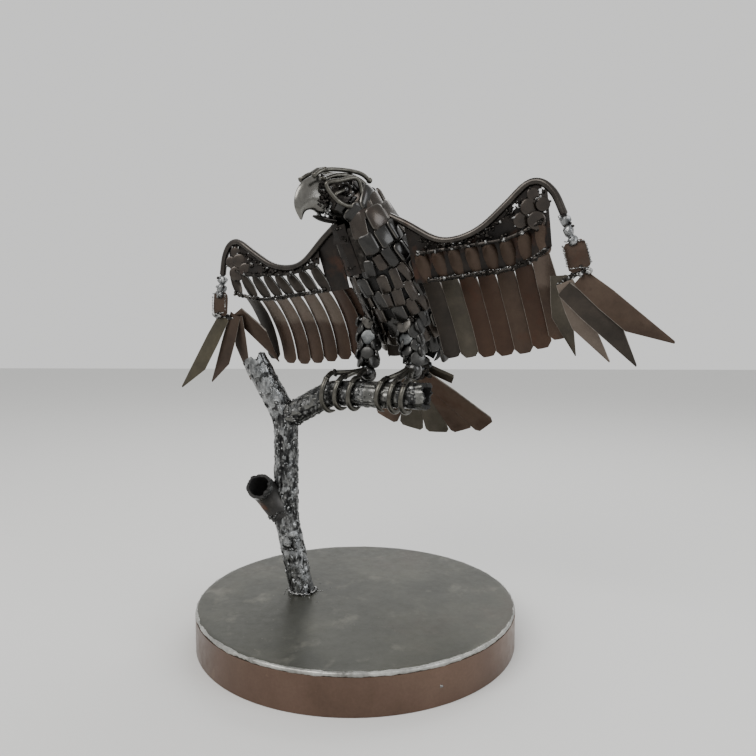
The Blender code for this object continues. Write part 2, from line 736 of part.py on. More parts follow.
def make_secondaries(name, side, wing):
    length = LEFT_DROP if side > 0 else RIGHT_DROP
    for k in range(SECONDARIES):
        out, up, behind = secondary_root(side, k)
        drop = length + 3.0 * math.sin(math.pi * (k + 0.5) / SECONDARIES)
        root = wing_point(side, out, up, behind)
        tip = wing_point(side, out + 1.5, up - drop, behind + SECONDARY_SWEEP)
        facing = louvre_facing(side, LOUVRE)
        strip = blade(root, tip, facing, blunt(STRIP_WIDTH), SHEET, bow=6.5)
        finish("%s_secondary_%d" % (name, k + 1), strip, feather_steel(), wing, root)


def make_primaries(name, side, wing, primaries):
    for k, (past, up, tipPast, tipUp, back, outside) in enumerate(primaries):
        layer = (SHEET + GAP) * k + 2.0
        root = wing_point(side, OUTERMOST_SECONDARY + past, up, layer)
        tip = wing_point(side, OUTERMOST_SECONDARY + tipPast, tipUp, layer + back)
        cut = 0.62 if k < 2 else 0.5
        facing = louvre_facing(side, 4)
        edge = (tip - root).cross(facing).normalized() * outside * side
        tip += edge * STRIP_WIDTH / 2
        strip = blade(root, tip, facing, pointed(STRIP_WIDTH, outside * side, cut), SHEET)
        finish("%s_primary_%d" % (name, k + 1), strip, feather_steel(), wing, root)


def rod_height(out):
    """Height of the leading edge's axis this far out."""
    for (a, low), (b, high) in zip(rodLine, rodLine[1:]):
        if a <= out <= b:
            return low + (high - low) * (out - a) / (b - a)
    return rodLine[0][1]


def make_coverts(name, side, wing, mould):
    """Lozenge plates between the rod and the feathers, with a seam above, one below and filler plates
    up to the rod."""
    bodies = []
    above, below = [], []
    for k in range(COVERTS):
        out = OUTERMOST_SECONDARY + 5.6 - COVERT_PITCH * (COVERTS - 1 - k)
        line, setback = feather_line(side, out)
        edge = min(rod_height(out - 6), rod_height(out + 5)) - rodRadius - GAP - 1.6
        low = line + 3.4
        top = min(low + COVERT_HEIGHT, edge - 0.5)
        head = wing_point(side, out - 1.0, top, -3.0)
        foot = wing_point(side, out + 1.0, low, setback - 3.5)
        widths = ((0, 4.4, 4.4), (0.3, 6.4, 6.4), (1, 4.2, 4.2))
        bodies.append(blade(head, foot, louvre_facing(side, 22), widths, 2.6, bow=2.0))
        above.append(wing_point(side, out - 1.0, top - 1.6, -2.2))
        below.append(wing_point(side, out + 1.0, low + 1.8, setback - 5.2))
        if edge - top > 3 and out < OUTERMOST_SECONDARY - 21 and k % 2:
            filler = ((0, 4.6, 4.6), (1, 5.6, 5.6))
            bodies.append(blade(wing_point(side, out - 1, edge, -0.5), wing_point(side, out - 1, top - 4, -2.0),
                                louvre_facing(side, 6 * (k % 3) - 6), filler, 2.4))
    bodies.append(tube(above, [2.0] * len(above), 4))
    bodies.append(tube(below, [1.7] * len(below), 4))
    for past, up, size in WRIST_DISCS:
        bodies.append(disc(wing_point(side, OUTERMOST_SECONDARY + past, up, -1.5), (side * 0.15, -1, 0.1 + 0.01 * size), size, 3.0, 6))
    row = combine([combine(bodies), mould], "DIFFERENCE")
    finish(name + "_coverts", row, scale_steel(), wing, above[-1])


def make_wrist(name, side, wing):
    """Knuckles below the rod's end and the square finger plate over the feather roots."""
    out, end = rodLine[-1]
    lift = RIGHT_WING_RISE if side < 0 else 0.0
    first = end - GAP - 5.2
    bodies = [lump(wing_point(side, out + 1, first, 0), (5.0, 5.0, 5.5), 0.2),
              lump(wing_point(side, out + 3, first - 8, -0.5), (5.6, 5.0, 5.4), 0.7),
              lump(wing_point(side, out + 5, first - 16 + lift / 2, -0.5), (5.0, 4.6, 5.2), 1.1)]
    plate = ((0, 5.6, 5.6), (0.16, 7.8, 7.8), (0.84, 7.8, 7.8), (1, 5.6, 5.6))
    bodies.append(blade(wing_point(side, out + 5, lift - 40, -1.2), wing_point(side, out + 9, lift - 62, -1.2),
                        louvre_facing(side, 0), plate, 3.6))
    finish(name + "_wrist", combine(bodies), scale_steel(), wing, wing_point(side, out, first))


# Tail

def make_tail(bird):
    x, ahead, z = TAIL_ROOT
    slope = math.radians(TAIL_SLOPE)
    down = Vector((0, math.cos(slope), -math.sin(slope)))
    facing = Vector((0, -math.sin(slope), -math.cos(slope)))
    for k, spread in enumerate((-36, -17, 3, 23, 41)):
        angle = math.radians(spread)
        depth = (SHEET + 2 * GAP) * (4 - k)
        root = Vector((x + 7 * math.sin(angle), -ahead, z)) - facing * depth
        reach = TAIL_LENGTH + (6.0 if k == 4 else 0.0)
        tip = root + (down * math.cos(angle) + Vector((1, 0, 0)) * math.sin(angle)) * reach
        half = TAIL_STRIP_WIDTH / 2
        widths = ((0, half * 0.5, half * 0.5), (0.45, half * 0.85, half * 0.85), (0.93, half, half),
                  (1, half * 0.6, half * 0.6))
        finish("tail_feather_%d" % (k + 1), blade(root, tip, facing, widths, SHEET), feather_steel(), bird, root)
    start = (x + 9, -ahead + 4.5, z + 5)
    bar = blade(start, (x + 36, -ahead + 12, z - 7), (0, 1, 0.6), straight(8), 3.2)
    finish("tail_bar", bar, scale_steel(), bird, start)


def make_bird(root):
    bird = empty("bird_frame", root, birdPlace, (0, 0, -PERCH_TURN))
    half = FOOT_SPACING / 2
    ankles = {1: (half + 1, 30, 23.5), -1: (-half + 8, 30, 18.5)}
    make_foot("left_foot", 1, bird, ((-13, 80, 0), (-1, 118, 0), (10, 112, 0)), ankles[1])
    make_foot("right_foot", -1, bird, ((-13, 100, 3.5), (-1.5, 108, 0.5), (12, 120, 0)), ankles[-1])
    make_leg("left_leg", 1, bird, (half - 4, 31, 61), ankles[1])
    make_leg("right_leg", -1, bird, (-half + 5, 39, 65), ankles[-1])
    make_body(bird)
    make_belly_feather(bird)
    make_throat(bird)
    make_head(bird)
    x, ahead, z = WING_PLACE
    for name, side, primaries in (("left", 1, LEFT_PRIMARIES), ("right", -1, RIGHT_PRIMARIES)):
        wing = empty(name + "_wing_frame", bird, (x, -ahead, z), (0, -WING_ROLL, 0))
        make_wing(name, side, wing, primaries)
    make_tail(bird)


def centre_on_origin(root):
    """Move the whole work so that the middle of its outline stands over the origin."""
    bpy.context.view_layer.update()
    corners = []
    for made in bpy.context.scene.objects:
        if made.type == "MESH":
            corners += [made.matrix_world @ v.co for v in made.data.vertices]
    for axis in (0, 1):
        values = [corner[axis] for corner in corners]
        root.location[axis] -= (min(values) + max(values)) / 2


def main():
    for old in list(bpy.data.objects):
        bpy.data.objects.remove(old)
    root = empty("sculpture_frame", None, (0, 0, 0))
    make_base(root)
    make_branch(root)
    make_bird(root)
    centre_on_origin(root)


main()
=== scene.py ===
import random
from math import atan2, cos, floor, pi, radians, sin, tau

import bmesh
import bpy
from mathutils import Matrix, Vector, noise


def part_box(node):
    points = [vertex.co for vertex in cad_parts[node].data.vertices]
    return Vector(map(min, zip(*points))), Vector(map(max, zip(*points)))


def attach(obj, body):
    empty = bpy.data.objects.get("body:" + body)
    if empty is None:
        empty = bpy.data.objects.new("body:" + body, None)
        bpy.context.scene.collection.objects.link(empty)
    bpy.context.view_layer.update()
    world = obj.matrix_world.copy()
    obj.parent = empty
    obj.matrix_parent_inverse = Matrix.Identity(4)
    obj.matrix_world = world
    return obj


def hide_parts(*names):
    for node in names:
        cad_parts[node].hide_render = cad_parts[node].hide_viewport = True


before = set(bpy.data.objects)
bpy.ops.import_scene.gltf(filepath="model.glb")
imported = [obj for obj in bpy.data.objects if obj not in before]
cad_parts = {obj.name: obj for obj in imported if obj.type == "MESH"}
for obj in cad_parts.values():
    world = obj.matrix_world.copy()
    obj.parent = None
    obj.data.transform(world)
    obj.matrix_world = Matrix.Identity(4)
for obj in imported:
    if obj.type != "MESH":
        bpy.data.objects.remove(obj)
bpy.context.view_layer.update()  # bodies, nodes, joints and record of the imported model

# Scrap metal eagle on a pipe branch and a round steel base.
# Lengths are in millimetres until a piece is finished, then metres.

mm = 0.001
dice = random.Random(11)
between, pick = dice.uniform, dice.choice


def about(reach):
    return between(-reach, reach)


def boxMiddle(name):
    low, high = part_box(name)
    return (low + high) / 2


baseMiddle = boxMiddle("base_band")
sculpture = Matrix.Translation((baseMiddle.x / mm, baseMiddle.y / mm, 0))  # the base's own frame


# Camera, floor and light

viewer = {
    "place": (20.2, -665.7, 303.0),  # from the middle of the base, in mm
    "down": 4.979,  # degrees below level
    "roll": 0.12,
    "lens": 34.08,
}

light = {
    "wall": (0.63, 0.63, 0.62), "world": 0.92, "aim": (0, 0, 0.25),
    "key": {"place": (-0.9, -1.1, 1.5), "size": (1.5, 1.0), "power": 30.0, "colour": (1.0, 0.98, 0.95)},
    "fill": {"place": (1.3, -0.8, 0.7), "size": (0.8, 0.8), "power": 9.0, "colour": (0.93, 0.96, 1.0)},
    "rim": {"place": (0.3, 0.9, 1.3), "size": (1.4, 0.5), "power": 9.0, "colour": (1, 1, 1)},
}


def intoScene(name, data):
    holder = bpy.data.objects.new(name, data)
    bpy.context.scene.collection.objects.link(holder)
    return holder


def makeCamera():
    lens = bpy.data.cameras.new("viewCamera")
    lens.lens = viewer["lens"]
    lens.sensor_width = 36.0
    lens.clip_start, lens.clip_end = 0.01, 50.0
    holder = intoScene("viewCamera", lens)
    place = sculpture @ Vector(viewer["place"])
    holder.location = place * mm
    holder.rotation_euler = (radians(90 - viewer["down"]), radians(-viewer["roll"]), 0)
    bpy.context.scene.camera = holder


def makeLamp(name):
    look = light[name]
    lamp = bpy.data.lights.new(name, "AREA")
    lamp.shape = "RECTANGLE"
    lamp.size, lamp.size_y = look["size"]
    lamp.energy, lamp.color = look["power"], look["colour"]
    holder = intoScene(name, lamp)
    holder.location = look["place"]
    holder.rotation_euler = (Vector(light["aim"]) - Vector(look["place"])).to_track_quat("-Z", "Y").to_euler()


def makeStudio():
    bm = bmesh.new()
    bmesh.ops.create_grid(bm, x_segments=1, y_segments=1, size=3.0)
    bmesh.ops.translate(bm, verts=bm.verts[:], vec=(0, 0.4, 0))
    ground = asShape(bm, "floor")
    paint = bpy.data.materials.new("paleFloor")
    paint.use_nodes = True
    fill(paint.node_tree, "Principled BSDF", {"Base Color": (*light["wall"], 1), "Roughness": 0.75})
    ground.materials.append(paint)
    intoScene("floor", ground)
    world = bpy.data.worlds.new("softRoom")
    world.use_nodes = True
    fill(world.node_tree, "Background", {"Color": (0.98, 0.98, 0.97, 1), "Strength": light["world"]})
    bpy.context.scene.world = world
    for name in ("key", "fill", "rim"):
        makeLamp(name)


# Materials: steel in several finishes, all read from the piece's own place

def fill(tree, node, values):  # each socket gets a value or a link
    node = tree.nodes[node] if isinstance(node, str) else node
    for socket, value in values.items():
        if isinstance(value, bpy.types.NodeSocket):
            tree.links.new(value, node.inputs[socket])
        else:
            node.inputs[socket].default_value = value
    return node


def addNode(tree, kind, values, **settings):
    node = tree.nodes.new("ShaderNode" + kind)
    for setting, value in settings.items():
        setattr(node, setting, value)
    return fill(tree, node, values)


def noiseAt(tree, coords, scale, detail, rough, stretch):
    mapping = addNode(tree, "Mapping", {"Vector": coords, "Scale": stretch})
    node = addNode(tree, "TexNoise", {"Vector": mapping.outputs["Vector"], "Scale": scale, "Detail": detail,
        "Roughness": rough})
    return node.outputs["Fac"]


def rampOf(tree, value, stops):
    node = addNode(tree, "ValToRGB", {"Fac": value})
    marks = node.color_ramp.elements
    for mark, (position, colour) in ((marks[0], stops[0]), (marks[1], stops[-1])):
        mark.position, mark.color = position, (*colour, 1)
    for position, colour in stops[1:-1]:
        marks.new(position).color = (*colour, 1)
    return node.outputs["Color"]


def grey(value):
    return (value, value, value)


def mixColour(tree, share, first, second, blend="MIX"):
    second = (*second, 1) if isinstance(second, tuple) else second
    values = {0: share, 6: first, 7: second}  # factor, A and B of the colour mix
    return addNode(tree, "Mix", values, data_type="RGBA", blend_type=blend).outputs[2]


def steel(name, look):
    made = bpy.data.materials.new(name)
    made.use_nodes = True
    tree = made.node_tree
    coords = tree.nodes.new("ShaderNodeTexCoord").outputs["Object"]
    cloud = noiseAt(tree, coords, look["cloud"], 6, 0.62, look["stretch"])
    colour = rampOf(tree, cloud, tuple(zip(look["at"], look["tones"])))
    if "band" in look:  # another tone above a height, with a soft and wandering edge
        low, high, tone = look["band"]
        split = addNode(tree, "SeparateXYZ", {0: coords})
        wander = addNode(tree, "Math", {0: cloud, 1: 0.02, 2: split.outputs["Z"]}, operation="MULTIPLY_ADD")
        reach = addNode(tree, "MapRange", {"Value": wander.outputs[0], "From Min": low + 0.01,
            "From Max": high + 0.01}, interpolation_type="SMOOTHSTEP")
        colour = mixColour(tree, reach.outputs["Result"], colour, tone)
    for scale, start, end, tone, strength in look["stains"]:  # soft patches of another tone
        patch = noiseAt(tree, coords, scale, 5, 0.6, look["stainStretch"])
        mask = rampOf(tree, patch, ((start, grey(0)), (end, grey(strength))))
        colour = mixColour(tree, mask, colour, tone)
    if "specks" in look:  # small dots
        scale, size, tone, strength = look["specks"]
        dots = addNode(tree, "TexVoronoi", {"Vector": coords, "Scale": scale})
        mask = rampOf(tree, dots.outputs["Distance"], ((0.0, grey(strength)), (size, grey(0))))
        colour = mixColour(tree, mask, colour, tone)
    grain = noiseAt(tree, coords, look["grain"], 4, 0.65, look["grainStretch"])
    shade = rampOf(tree, grain, ((0.25, grey(1 - look["grainShade"])), (0.75, grey(1))))
    low, high = look["rough"]
    wear = noiseAt(tree, coords, look["wear"], 5, 0.6, look["grainStretch"])
    relief = noiseAt(tree, coords, look["relief"], 6, 0.65, look["grainStretch"])
    bump = addNode(tree, "Bump", {"Strength": look["bump"], "Distance": look["bumpDepth"], "Height": relief})
    fill(tree, "Principled BSDF", {
        "Base Color": mixColour(tree, 1.0, colour, shade, "MULTIPLY"),
        "Roughness": rampOf(tree, wear, ((0.3, grey(low)), (0.7, grey(high)))),
        "Metallic": look["metal"], "Coat Weight": look["coat"], "Coat Roughness": 0.2,
        "Normal": bump.outputs["Normal"],
    })
    return made


plainSteel = {  # what a finish has where it says nothing else
    "at": (0.3, 0.55, 0.8), "cloud": 55, "stretch": (1, 1, 1), "stains": (), "stainStretch": (1, 1, 1),
    "grain": 420, "grainShade": 0.25, "grainStretch": (1, 1, 1), "wear": 130, "metal": 0.85, "coat": 0.0,
    "bump": 0.3, "bumpDepth": 0.0003, "relief": 350,
}
barkLook = {  # weld bead
    "stretch": (1, 1, 0.4), "metal": 0.9, "grainShade": 0.5, "bump": 0.7, "bumpDepth": 0.0006,
    "relief": 420,
}
featherLook = {  # flat strips
    "at": (0.28, 0.5, 0.75), "cloud": 34, "rough": (0.36, 0.52), "metal": 0.6, "bump": 0.15,
    "grainShade": 0.15,
}
finishes = {
    "plateSteel": {
        "tones": ((0.0379, 0.0391, 0.0322), (0.0645, 0.0652, 0.0535), (0.1063, 0.1051, 0.0837)),
        "at": (0.25, 0.5, 0.78), "cloud": 13, "stainStretch": (1.4, 1, 1), "rough": (0.28, 0.44),
        "metal": 0.55, "grain": 900,
        "stains": ((34, 0.57, 0.74, (0.19, 0.183, 0.152), 0.6),
            (9, 0.58, 0.72, (0.0792, 0.0662, 0.0549), 0.6)),
        "specks": (95, 0.09, (0.2178, 0.2079, 0.1736), 0.7), "bump": 0.12, "relief": 700,
    },
    "bandSteel": {
        "tones": ((0.0869, 0.0542, 0.0403), (0.1332, 0.0867, 0.0647), (0.197, 0.1309, 0.0985)),
        "at": (0.25, 0.5, 0.8), "cloud": 9, "stretch": (1, 1, 0.6), "rough": (0.28, 0.42), "metal": 0.8,
        "grainShade": 0.15, "stains": ((60, 0.66, 0.76, (0.24, 0.162, 0.115), 0.6),),
        "specks": (90, 0.04, (0.24, 0.168, 0.1196), 0.5), "bump": 0.1, "relief": 500,
    },
    "groundWeld": {
        "tones": ((0.24, 0.24, 0.2262), (0.44, 0.44, 0.4134), (0.624, 0.624, 0.5928)),
        "at": (0.25, 0.55, 0.8), "cloud": 45, "rough": (0.28, 0.5), "metal": 0.75, "grainShade": 0.4,
        "bump": 0.5, "stains": ((34, 0.55, 0.7, (0.1, 0.095, 0.088), 0.85),),
    },
    "barkSteel": {
        **barkLook, "tones": ((0.01, 0.0103, 0.0107), (0.055, 0.0558, 0.056), (0.3, 0.303, 0.3)),
        "at": (0.34, 0.5, 0.66), "specks": (230, 0.3, (0.46, 0.46, 0.45), 0.9), "cloud": 230,
        "rough": (0.16, 0.42),
    },
    "barkBright": {
        **barkLook, "tones": ((0.0553, 0.0575, 0.0601), (0.2431, 0.2487, 0.2512), (0.5746, 0.5857, 0.5897)),
        "at": (0.28, 0.5, 0.75), "cloud": 240, "rough": (0.14, 0.38), "metal": 0.92,
        "specks": (200, 0.3, (0.72, 0.72, 0.71), 0.9),
    },
    "stubSteel": {
        "tones": ((0.018, 0.018, 0.018), (0.045, 0.043, 0.041), (0.09, 0.085, 0.08)), "cloud": 60,
        "rough": (0.35, 0.6), "metal": 0.6, "stains": ((38, 0.6, 0.72, (0.16, 0.055, 0.018), 0.8),),
        "bump": 0.5, "relief": 300,
    },
    # near-black painted shade, for pipe bores and end rings and for the shell seen between the body plates
    "paintedShade": {
        "tones": ((0.006, 0.006, 0.006), (0.018, 0.017, 0.016)), "at": (0.3, 0.7), "rough": (0.6, 0.8),
        "metal": 0.3,
    },
    "rodSteel": {
        "tones": ((0.0245, 0.0208, 0.0177), (0.0438, 0.0376, 0.0322), (0.0735, 0.063, 0.0539)), "cloud": 90,
        "rough": (0.2, 0.36), "metal": 0.92, "stains": ((70, 0.6, 0.72, (0.0221, 0.0108, 0.0062), 0.6),),
        "bump": 0.2, "coat": 0.3,
    },
    "toeSteel": {
        "tones": ((0.0495, 0.0462, 0.0391), (0.099, 0.0948, 0.0826), (0.1683, 0.1604, 0.1377)),
        "cloud": 140, "rough": (0.24, 0.42), "metal": 0.9, "bump": 0.4,
    },
    "ballSteel": {
        "tones": ((0.028, 0.028, 0.028), (0.068, 0.0664, 0.064)), "at": (0.3, 0.7), "cloud": 110,
        "rough": (0.16, 0.34), "metal": 0.9, "coat": 0.4,
    },
    "coinSteel": {
        "tones": ((0.0408, 0.0438, 0.0451), (0.0765, 0.0801, 0.0811), (0.1224, 0.1239, 0.1217)),
        "cloud": 150, "rough": (0.26, 0.4), "metal": 0.96, "grainShade": 0.2, "bump": 0.15,
    },
    "coinPale": {
        "tones": ((0.0605, 0.0572, 0.0516), (0.1089, 0.1023, 0.0935), (0.1663, 0.1564, 0.1419)),
        "cloud": 150, "rough": (0.3, 0.46), "metal": 0.95,
    },
    "coinDark": {
        "tones": ((0.0264, 0.0262, 0.0257), (0.0662, 0.0652, 0.0625), (0.1146, 0.11, 0.1015)),
        "at": (0.3, 0.6, 0.8), "cloud": 120, "rough": (0.24, 0.4), "metal": 0.9, "coat": 0.15, "bump": 0.2,
    },
    "scaleDark": {
        "tones": ((0.0099, 0.0095, 0.009), (0.0209, 0.0196, 0.018), (0.0413, 0.0376, 0.0335)), "cloud": 70,
        "rough": (0.18, 0.36), "coat": 0.55, "stains": ((50, 0.6, 0.75, (0.0303, 0.017, 0.013), 0.7),),
    },
    "scaleBrown": {
        "tones": ((0.018, 0.0131, 0.01), (0.0338, 0.0254, 0.0192), (0.0563, 0.0443, 0.0333)), "cloud": 70,
        "rough": (0.2, 0.38), "metal": 0.8, "coat": 0.5,
        "stains": ((45, 0.6, 0.75, (0.0315, 0.0123, 0.0089), 0.6),),
    },
    "weldBright": {
        "tones": ((0.09, 0.09, 0.0888), (0.285, 0.285, 0.2812), (0.54, 0.54, 0.518)), "cloud": 260,
        "rough": (0.14, 0.34), "metal": 0.95, "bump": 0.6, "grainShade": 0.4,
    },
    "weldDark": {
        "tones": ((0.01, 0.0091, 0.0083), (0.0325, 0.0288, 0.0258), (0.1, 0.0912, 0.0828)), "cloud": 260,
        "rough": (0.2, 0.42), "metal": 0.9, "bump": 0.7, "grainShade": 0.5,
    },
    "featherBrown": {
        **featherLook,
        "tones": ((0.0306, 0.0186, 0.012), (0.0468, 0.0294, 0.0196), (0.0648, 0.0432, 0.0294)),
        "stains": ((28, 0.56, 0.72, (0.054, 0.0208, 0.0098), 0.55),
            (44, 0.66, 0.74, (0.018, 0.008, 0.0042), 0.7)),
    },
    "featherRust": {
        **featherLook,
        "tones": ((0.0281, 0.0139, 0.008), (0.0413, 0.0212, 0.0125), (0.0545, 0.0304, 0.0187)),
        "stains": ((28, 0.58, 0.72, (0.0561, 0.0174, 0.0075), 0.5),
            (60, 0.68, 0.74, (0.0132, 0.0058, 0.003), 0.7)),
    },
    "featherGrey": {
        **featherLook, "tones": ((0.035, 0.0301, 0.0231), (0.0575, 0.0493, 0.037), (0.09, 0.0775, 0.0588)),
        "rough": (0.34, 0.5), "metal": 0.65, "stains": ((26, 0.58, 0.74, (0.06, 0.0282, 0.016), 0.5),),
    },
    "featherOlive": {
        **featherLook, "tones": ((0.0342, 0.029, 0.019), (0.0576, 0.0495, 0.0322), (0.09, 0.0775, 0.0518)),
        "cloud": 30, "rough": (0.34, 0.5), "metal": 0.65, "band": (0.3, 0.33, (0.0432, 0.0281, 0.0174)),
    },
    "featherDark": {
        **featherLook,
        "tones": ((0.015, 0.0124, 0.0101), (0.0275, 0.0221, 0.0176), (0.0475, 0.0377, 0.0294)),
        "rough": (0.34, 0.5), "metal": 0.65,
    },
    "featherPale": {
        **featherLook, "tones": ((0.086, 0.067, 0.0538), (0.113, 0.0893, 0.0724), (0.143, 0.1157, 0.0946)),
        "cloud": 30, "rough": (0.36, 0.5), "grainShade": 0.12,
        "stains": ((30, 0.6, 0.74, (0.093, 0.0493, 0.0318), 0.5),),
    },
    "featherPink": {
        **featherLook, "tones": ((0.032, 0.018, 0.0112), (0.046, 0.027, 0.017), (0.062, 0.0378, 0.0248)),
        "band": (0.293, 0.3, (0.108, 0.0828, 0.0635)),
        "stains": ((28, 0.6, 0.72, (0.064, 0.0216, 0.0099), 0.5),),
    },
    "featherTip": {
        **featherLook, "tones": ((0.0306, 0.0179, 0.0118), (0.045, 0.0282, 0.0185), (0.0612, 0.04, 0.0274)),
        "band": (0.322, 0.33, (0.108, 0.08, 0.063)),
        "stains": ((34, 0.6, 0.7, (0.0612, 0.0192, 0.0084), 0.6),),
    },
    "perchSatin": {
        "tones": ((0.075, 0.075, 0.0715), (0.15, 0.15, 0.1424), (0.27, 0.27, 0.2555)),
        "at": (0.28, 0.5, 0.75), "cloud": 90, "rough": (0.24, 0.42), "metal": 0.9, "bump": 0.4,
        "grainShade": 0.35,
    },
    "tailBrown": {
        **featherLook,
        "tones": ((0.0788, 0.0525, 0.0385), (0.1225, 0.0823, 0.0613), (0.175, 0.126, 0.0963)), "cloud": 30,
        "rough": (0.32, 0.5), "metal": 0.65, "stains": ((30, 0.56, 0.72, (0.075, 0.03, 0.016), 0.5),),
    },
    "tailOlive": {
        **featherLook, "tones": ((0.076, 0.0665, 0.0513), (0.1178, 0.1045, 0.0817), (0.171, 0.152, 0.1197)),
        "cloud": 30, "rough": (0.32, 0.5), "metal": 0.65,
    },
    # a dark rusty sheet; behind the left coverts it also stands in for the shade in the gaps between the
    # lozenges
    "rustSheet": {
        "tones": ((0.0065, 0.0052, 0.0046), (0.013, 0.0097, 0.0078), (0.0273, 0.0189, 0.0143)), "cloud": 60,
        "rough": (0.35, 0.55), "metal": 0.6, "bump": 0.5, "relief": 260,
        "stains": ((34, 0.56, 0.7, (0.06, 0.023, 0.011), 0.7),),
    },
    # painted highlight on the narrow rims of the body and neck plates
    "scaleRimHighlight": {
        "tones": ((0.06, 0.056, 0.051), (0.125, 0.117, 0.106), (0.21, 0.199, 0.183)), "at": (0.3, 0.6, 0.8),
        "cloud": 120, "rough": (0.2, 0.36), "metal": 0.9,
    },
    # painted highlight along the edges of feather, tail and belly strips
    "edgeHighlight": {
        "tones": ((0.12, 0.1056, 0.092), (0.23, 0.2064, 0.184), (0.31, 0.288, 0.2622)),
        "at": (0.3, 0.6, 0.8), "cloud": 160, "rough": (0.25, 0.42), "metal": 0.9,
    },
    "beakSteel": {
        "tones": ((0.1148, 0.11, 0.1005), (0.1721, 0.1674, 0.1542), (0.2391, 0.2343, 0.215)),
        "at": (0.28, 0.55, 0.8), "cloud": 70, "rough": (0.15, 0.26), "metal": 0.94,
        "grainStretch": (1, 1, 0.4), "bump": 0.25,
        "stains": ((40, 0.62, 0.74, (0.0585, 0.045, 0.0374), 0.7),),
    },
}
paints = {name: steel(name, {**plainSteel, **look}) for name, look in finishes.items()}
print("materials:", len(paints))


# Shapes that many pieces use

def asShape(bm, name):  # a mesh to stamp from
    shape = bpy.data.meshes.new(name)
    bm.to_mesh(shape)
    bm.free()
    return shape


# a shape's marked rim faces take the rim finish; on the body and neck plates that is a painted highlight
def stamp(bm, shape, place, finish=0, rim=None):  # a placed copy, its rim in a finish of its own
    copy = shape.copy()
    copy.transform(place)
    for face in copy.polygons:
        face.material_index = rim if face.material_index and rim is not None else finish
    bm.from_mesh(copy)
    bpy.data.meshes.remove(copy)


def addShape(bm, made, finish):  # one more closed form in a piece
    stamp(bm, asShape(made, "form"), Matrix.Identity(4), finish)


def finishPiece(name, bm, place, mats, sharp=38, stands=None):  # stands for the node of its name
    stands = [name] if stands is None else stands
    if stands:
        name += "_steel"
    bmesh.ops.transform(bm, matrix=place, verts=bm.verts[:])
    bmesh.ops.scale(bm, verts=bm.verts[:], vec=(mm, mm, mm))
    bmesh.ops.recalc_face_normals(bm, faces=bm.faces[:])
    mesh = asShape(bm, name)
    for paint in mats:
        mesh.materials.append(paints[paint])
    mesh.shade_smooth()
    mesh.set_sharp_from_angle(angle=radians(sharp))
    piece = intoScene(name, mesh)
    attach(piece, "root")
    if stands:
        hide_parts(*stands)


def smoothLine(points, steps):  # a smooth curve through the points
    points = [Vector(p) for p in points]
    padded = [2 * points[0] - points[1], *points, 2 * points[-1] - points[-2]]
    line = []
    for a, b, c, d in zip(padded, padded[1:], padded[2:], padded[3:]):
        for step in range(steps):
            t = step / steps
            line.append(0.5 * (2 * b + (c - a) * t + (2 * a - 5 * b + 4 * c - d) * t * t
                               + (3 * b - a - 3 * c + d) * t * t * t))
    line.append(points[-1])
    return line


def evenLine(line, step):  # the same line with points this far apart
    marks = [line[0]]
    left = step
    for a, b in zip(line, line[1:]):
        length = (b - a).length
        while left <= length:
            marks.append(a.lerp(b, left / length))
            left += step
        left -= length
    marks.append(line[-1])
    return marks


def placesAlong(line):  # frames along a line, Z ahead, turning as little as they can
    ahead = []
    for i in range(len(line)):
        ahead.append((line[min(i + 1, len(line) - 1)] - line[max(i - 1, 0)]).normalized())
    start = Vector((0, 0, 1)) if abs(ahead[0].z) < 0.8 else Vector((0, 1, 0))
    side = ahead[0].cross(start).normalized()
    places = []
    for point, way in zip(line, ahead):
        side = (side - way * side.dot(way)).normalized()
        up = way.cross(side)
        turn = Matrix((side, up, way)).transposed().to_4x4()
        places.append(Matrix.Translation(point) @ turn)
    return places


def sizeOf(radius):
    wide, deep = radius if isinstance(radius, tuple) else (radius, radius)
    return Matrix.Diagonal((wide, deep, max(wide, deep), 1))


def growTube(bm, places, radii, sides=12, capped=True):
    before = places[0] @ sizeOf(radii[0])
    ring = bmesh.ops.create_circle(bm, segments=sides, radius=1.0, matrix=before)["verts"]
    edges = list({e for v in ring for e in v.link_edges})
    first, rings = edges, [ring]
    for place, radius in zip(places[1:], radii[1:]):
        now = place @ sizeOf(radius)
        grown = bmesh.ops.extrude_edge_only(bm, edges=edges)["geom"]
        ring = [g for g in grown if isinstance(g, bmesh.types.BMVert)]
        fresh = set(ring)
        edges = [g for g in grown if isinstance(g, bmesh.types.BMEdge) and set(g.verts) <= fresh]
        bmesh.ops.transform(bm, matrix=now @ before.inverted(), verts=ring)
        rings.append(ring)
        before = now
    if capped:
        bmesh.ops.contextual_create(bm, geom=first)
        bmesh.ops.contextual_create(bm, geom=edges)
    return rings, first, edges


def roundBar(bm, line, radius, sides=12, endRadius=None, finish=0):  # a bar with rounded ends
    line = [Vector(p) for p in line]
    end = radius if endRadius is None else endRadius
    count = len(line) - 1
    radii = [radius + (end - radius) * max(0.0, (i / count - 0.6) / 0.4) for i in range(count + 1)]
    places = placesAlong(line)
    first = places[0] @ Matrix.Translation((0, 0, -radius * 0.35))
    last = places[-1] @ Matrix.Translation((0, 0, end * 0.35))
    made = bmesh.new()
    growTube(made, [first, *places, last], [radius * 0.6, *radii, end * 0.6], sides)
    addShape(bm, made, finish)


def softRim(bm, offset, limit=50, segments=2):
    rim = [e for e in bm.edges if e.is_manifold and e.calc_face_angle(0) > radians(limit)]
    bmesh.ops.bevel(bm, geom=rim, offset=offset, offset_type="OFFSET", segments=segments, profile=0.5,
        affect="EDGES", material=-1, clamp_overlap=True)


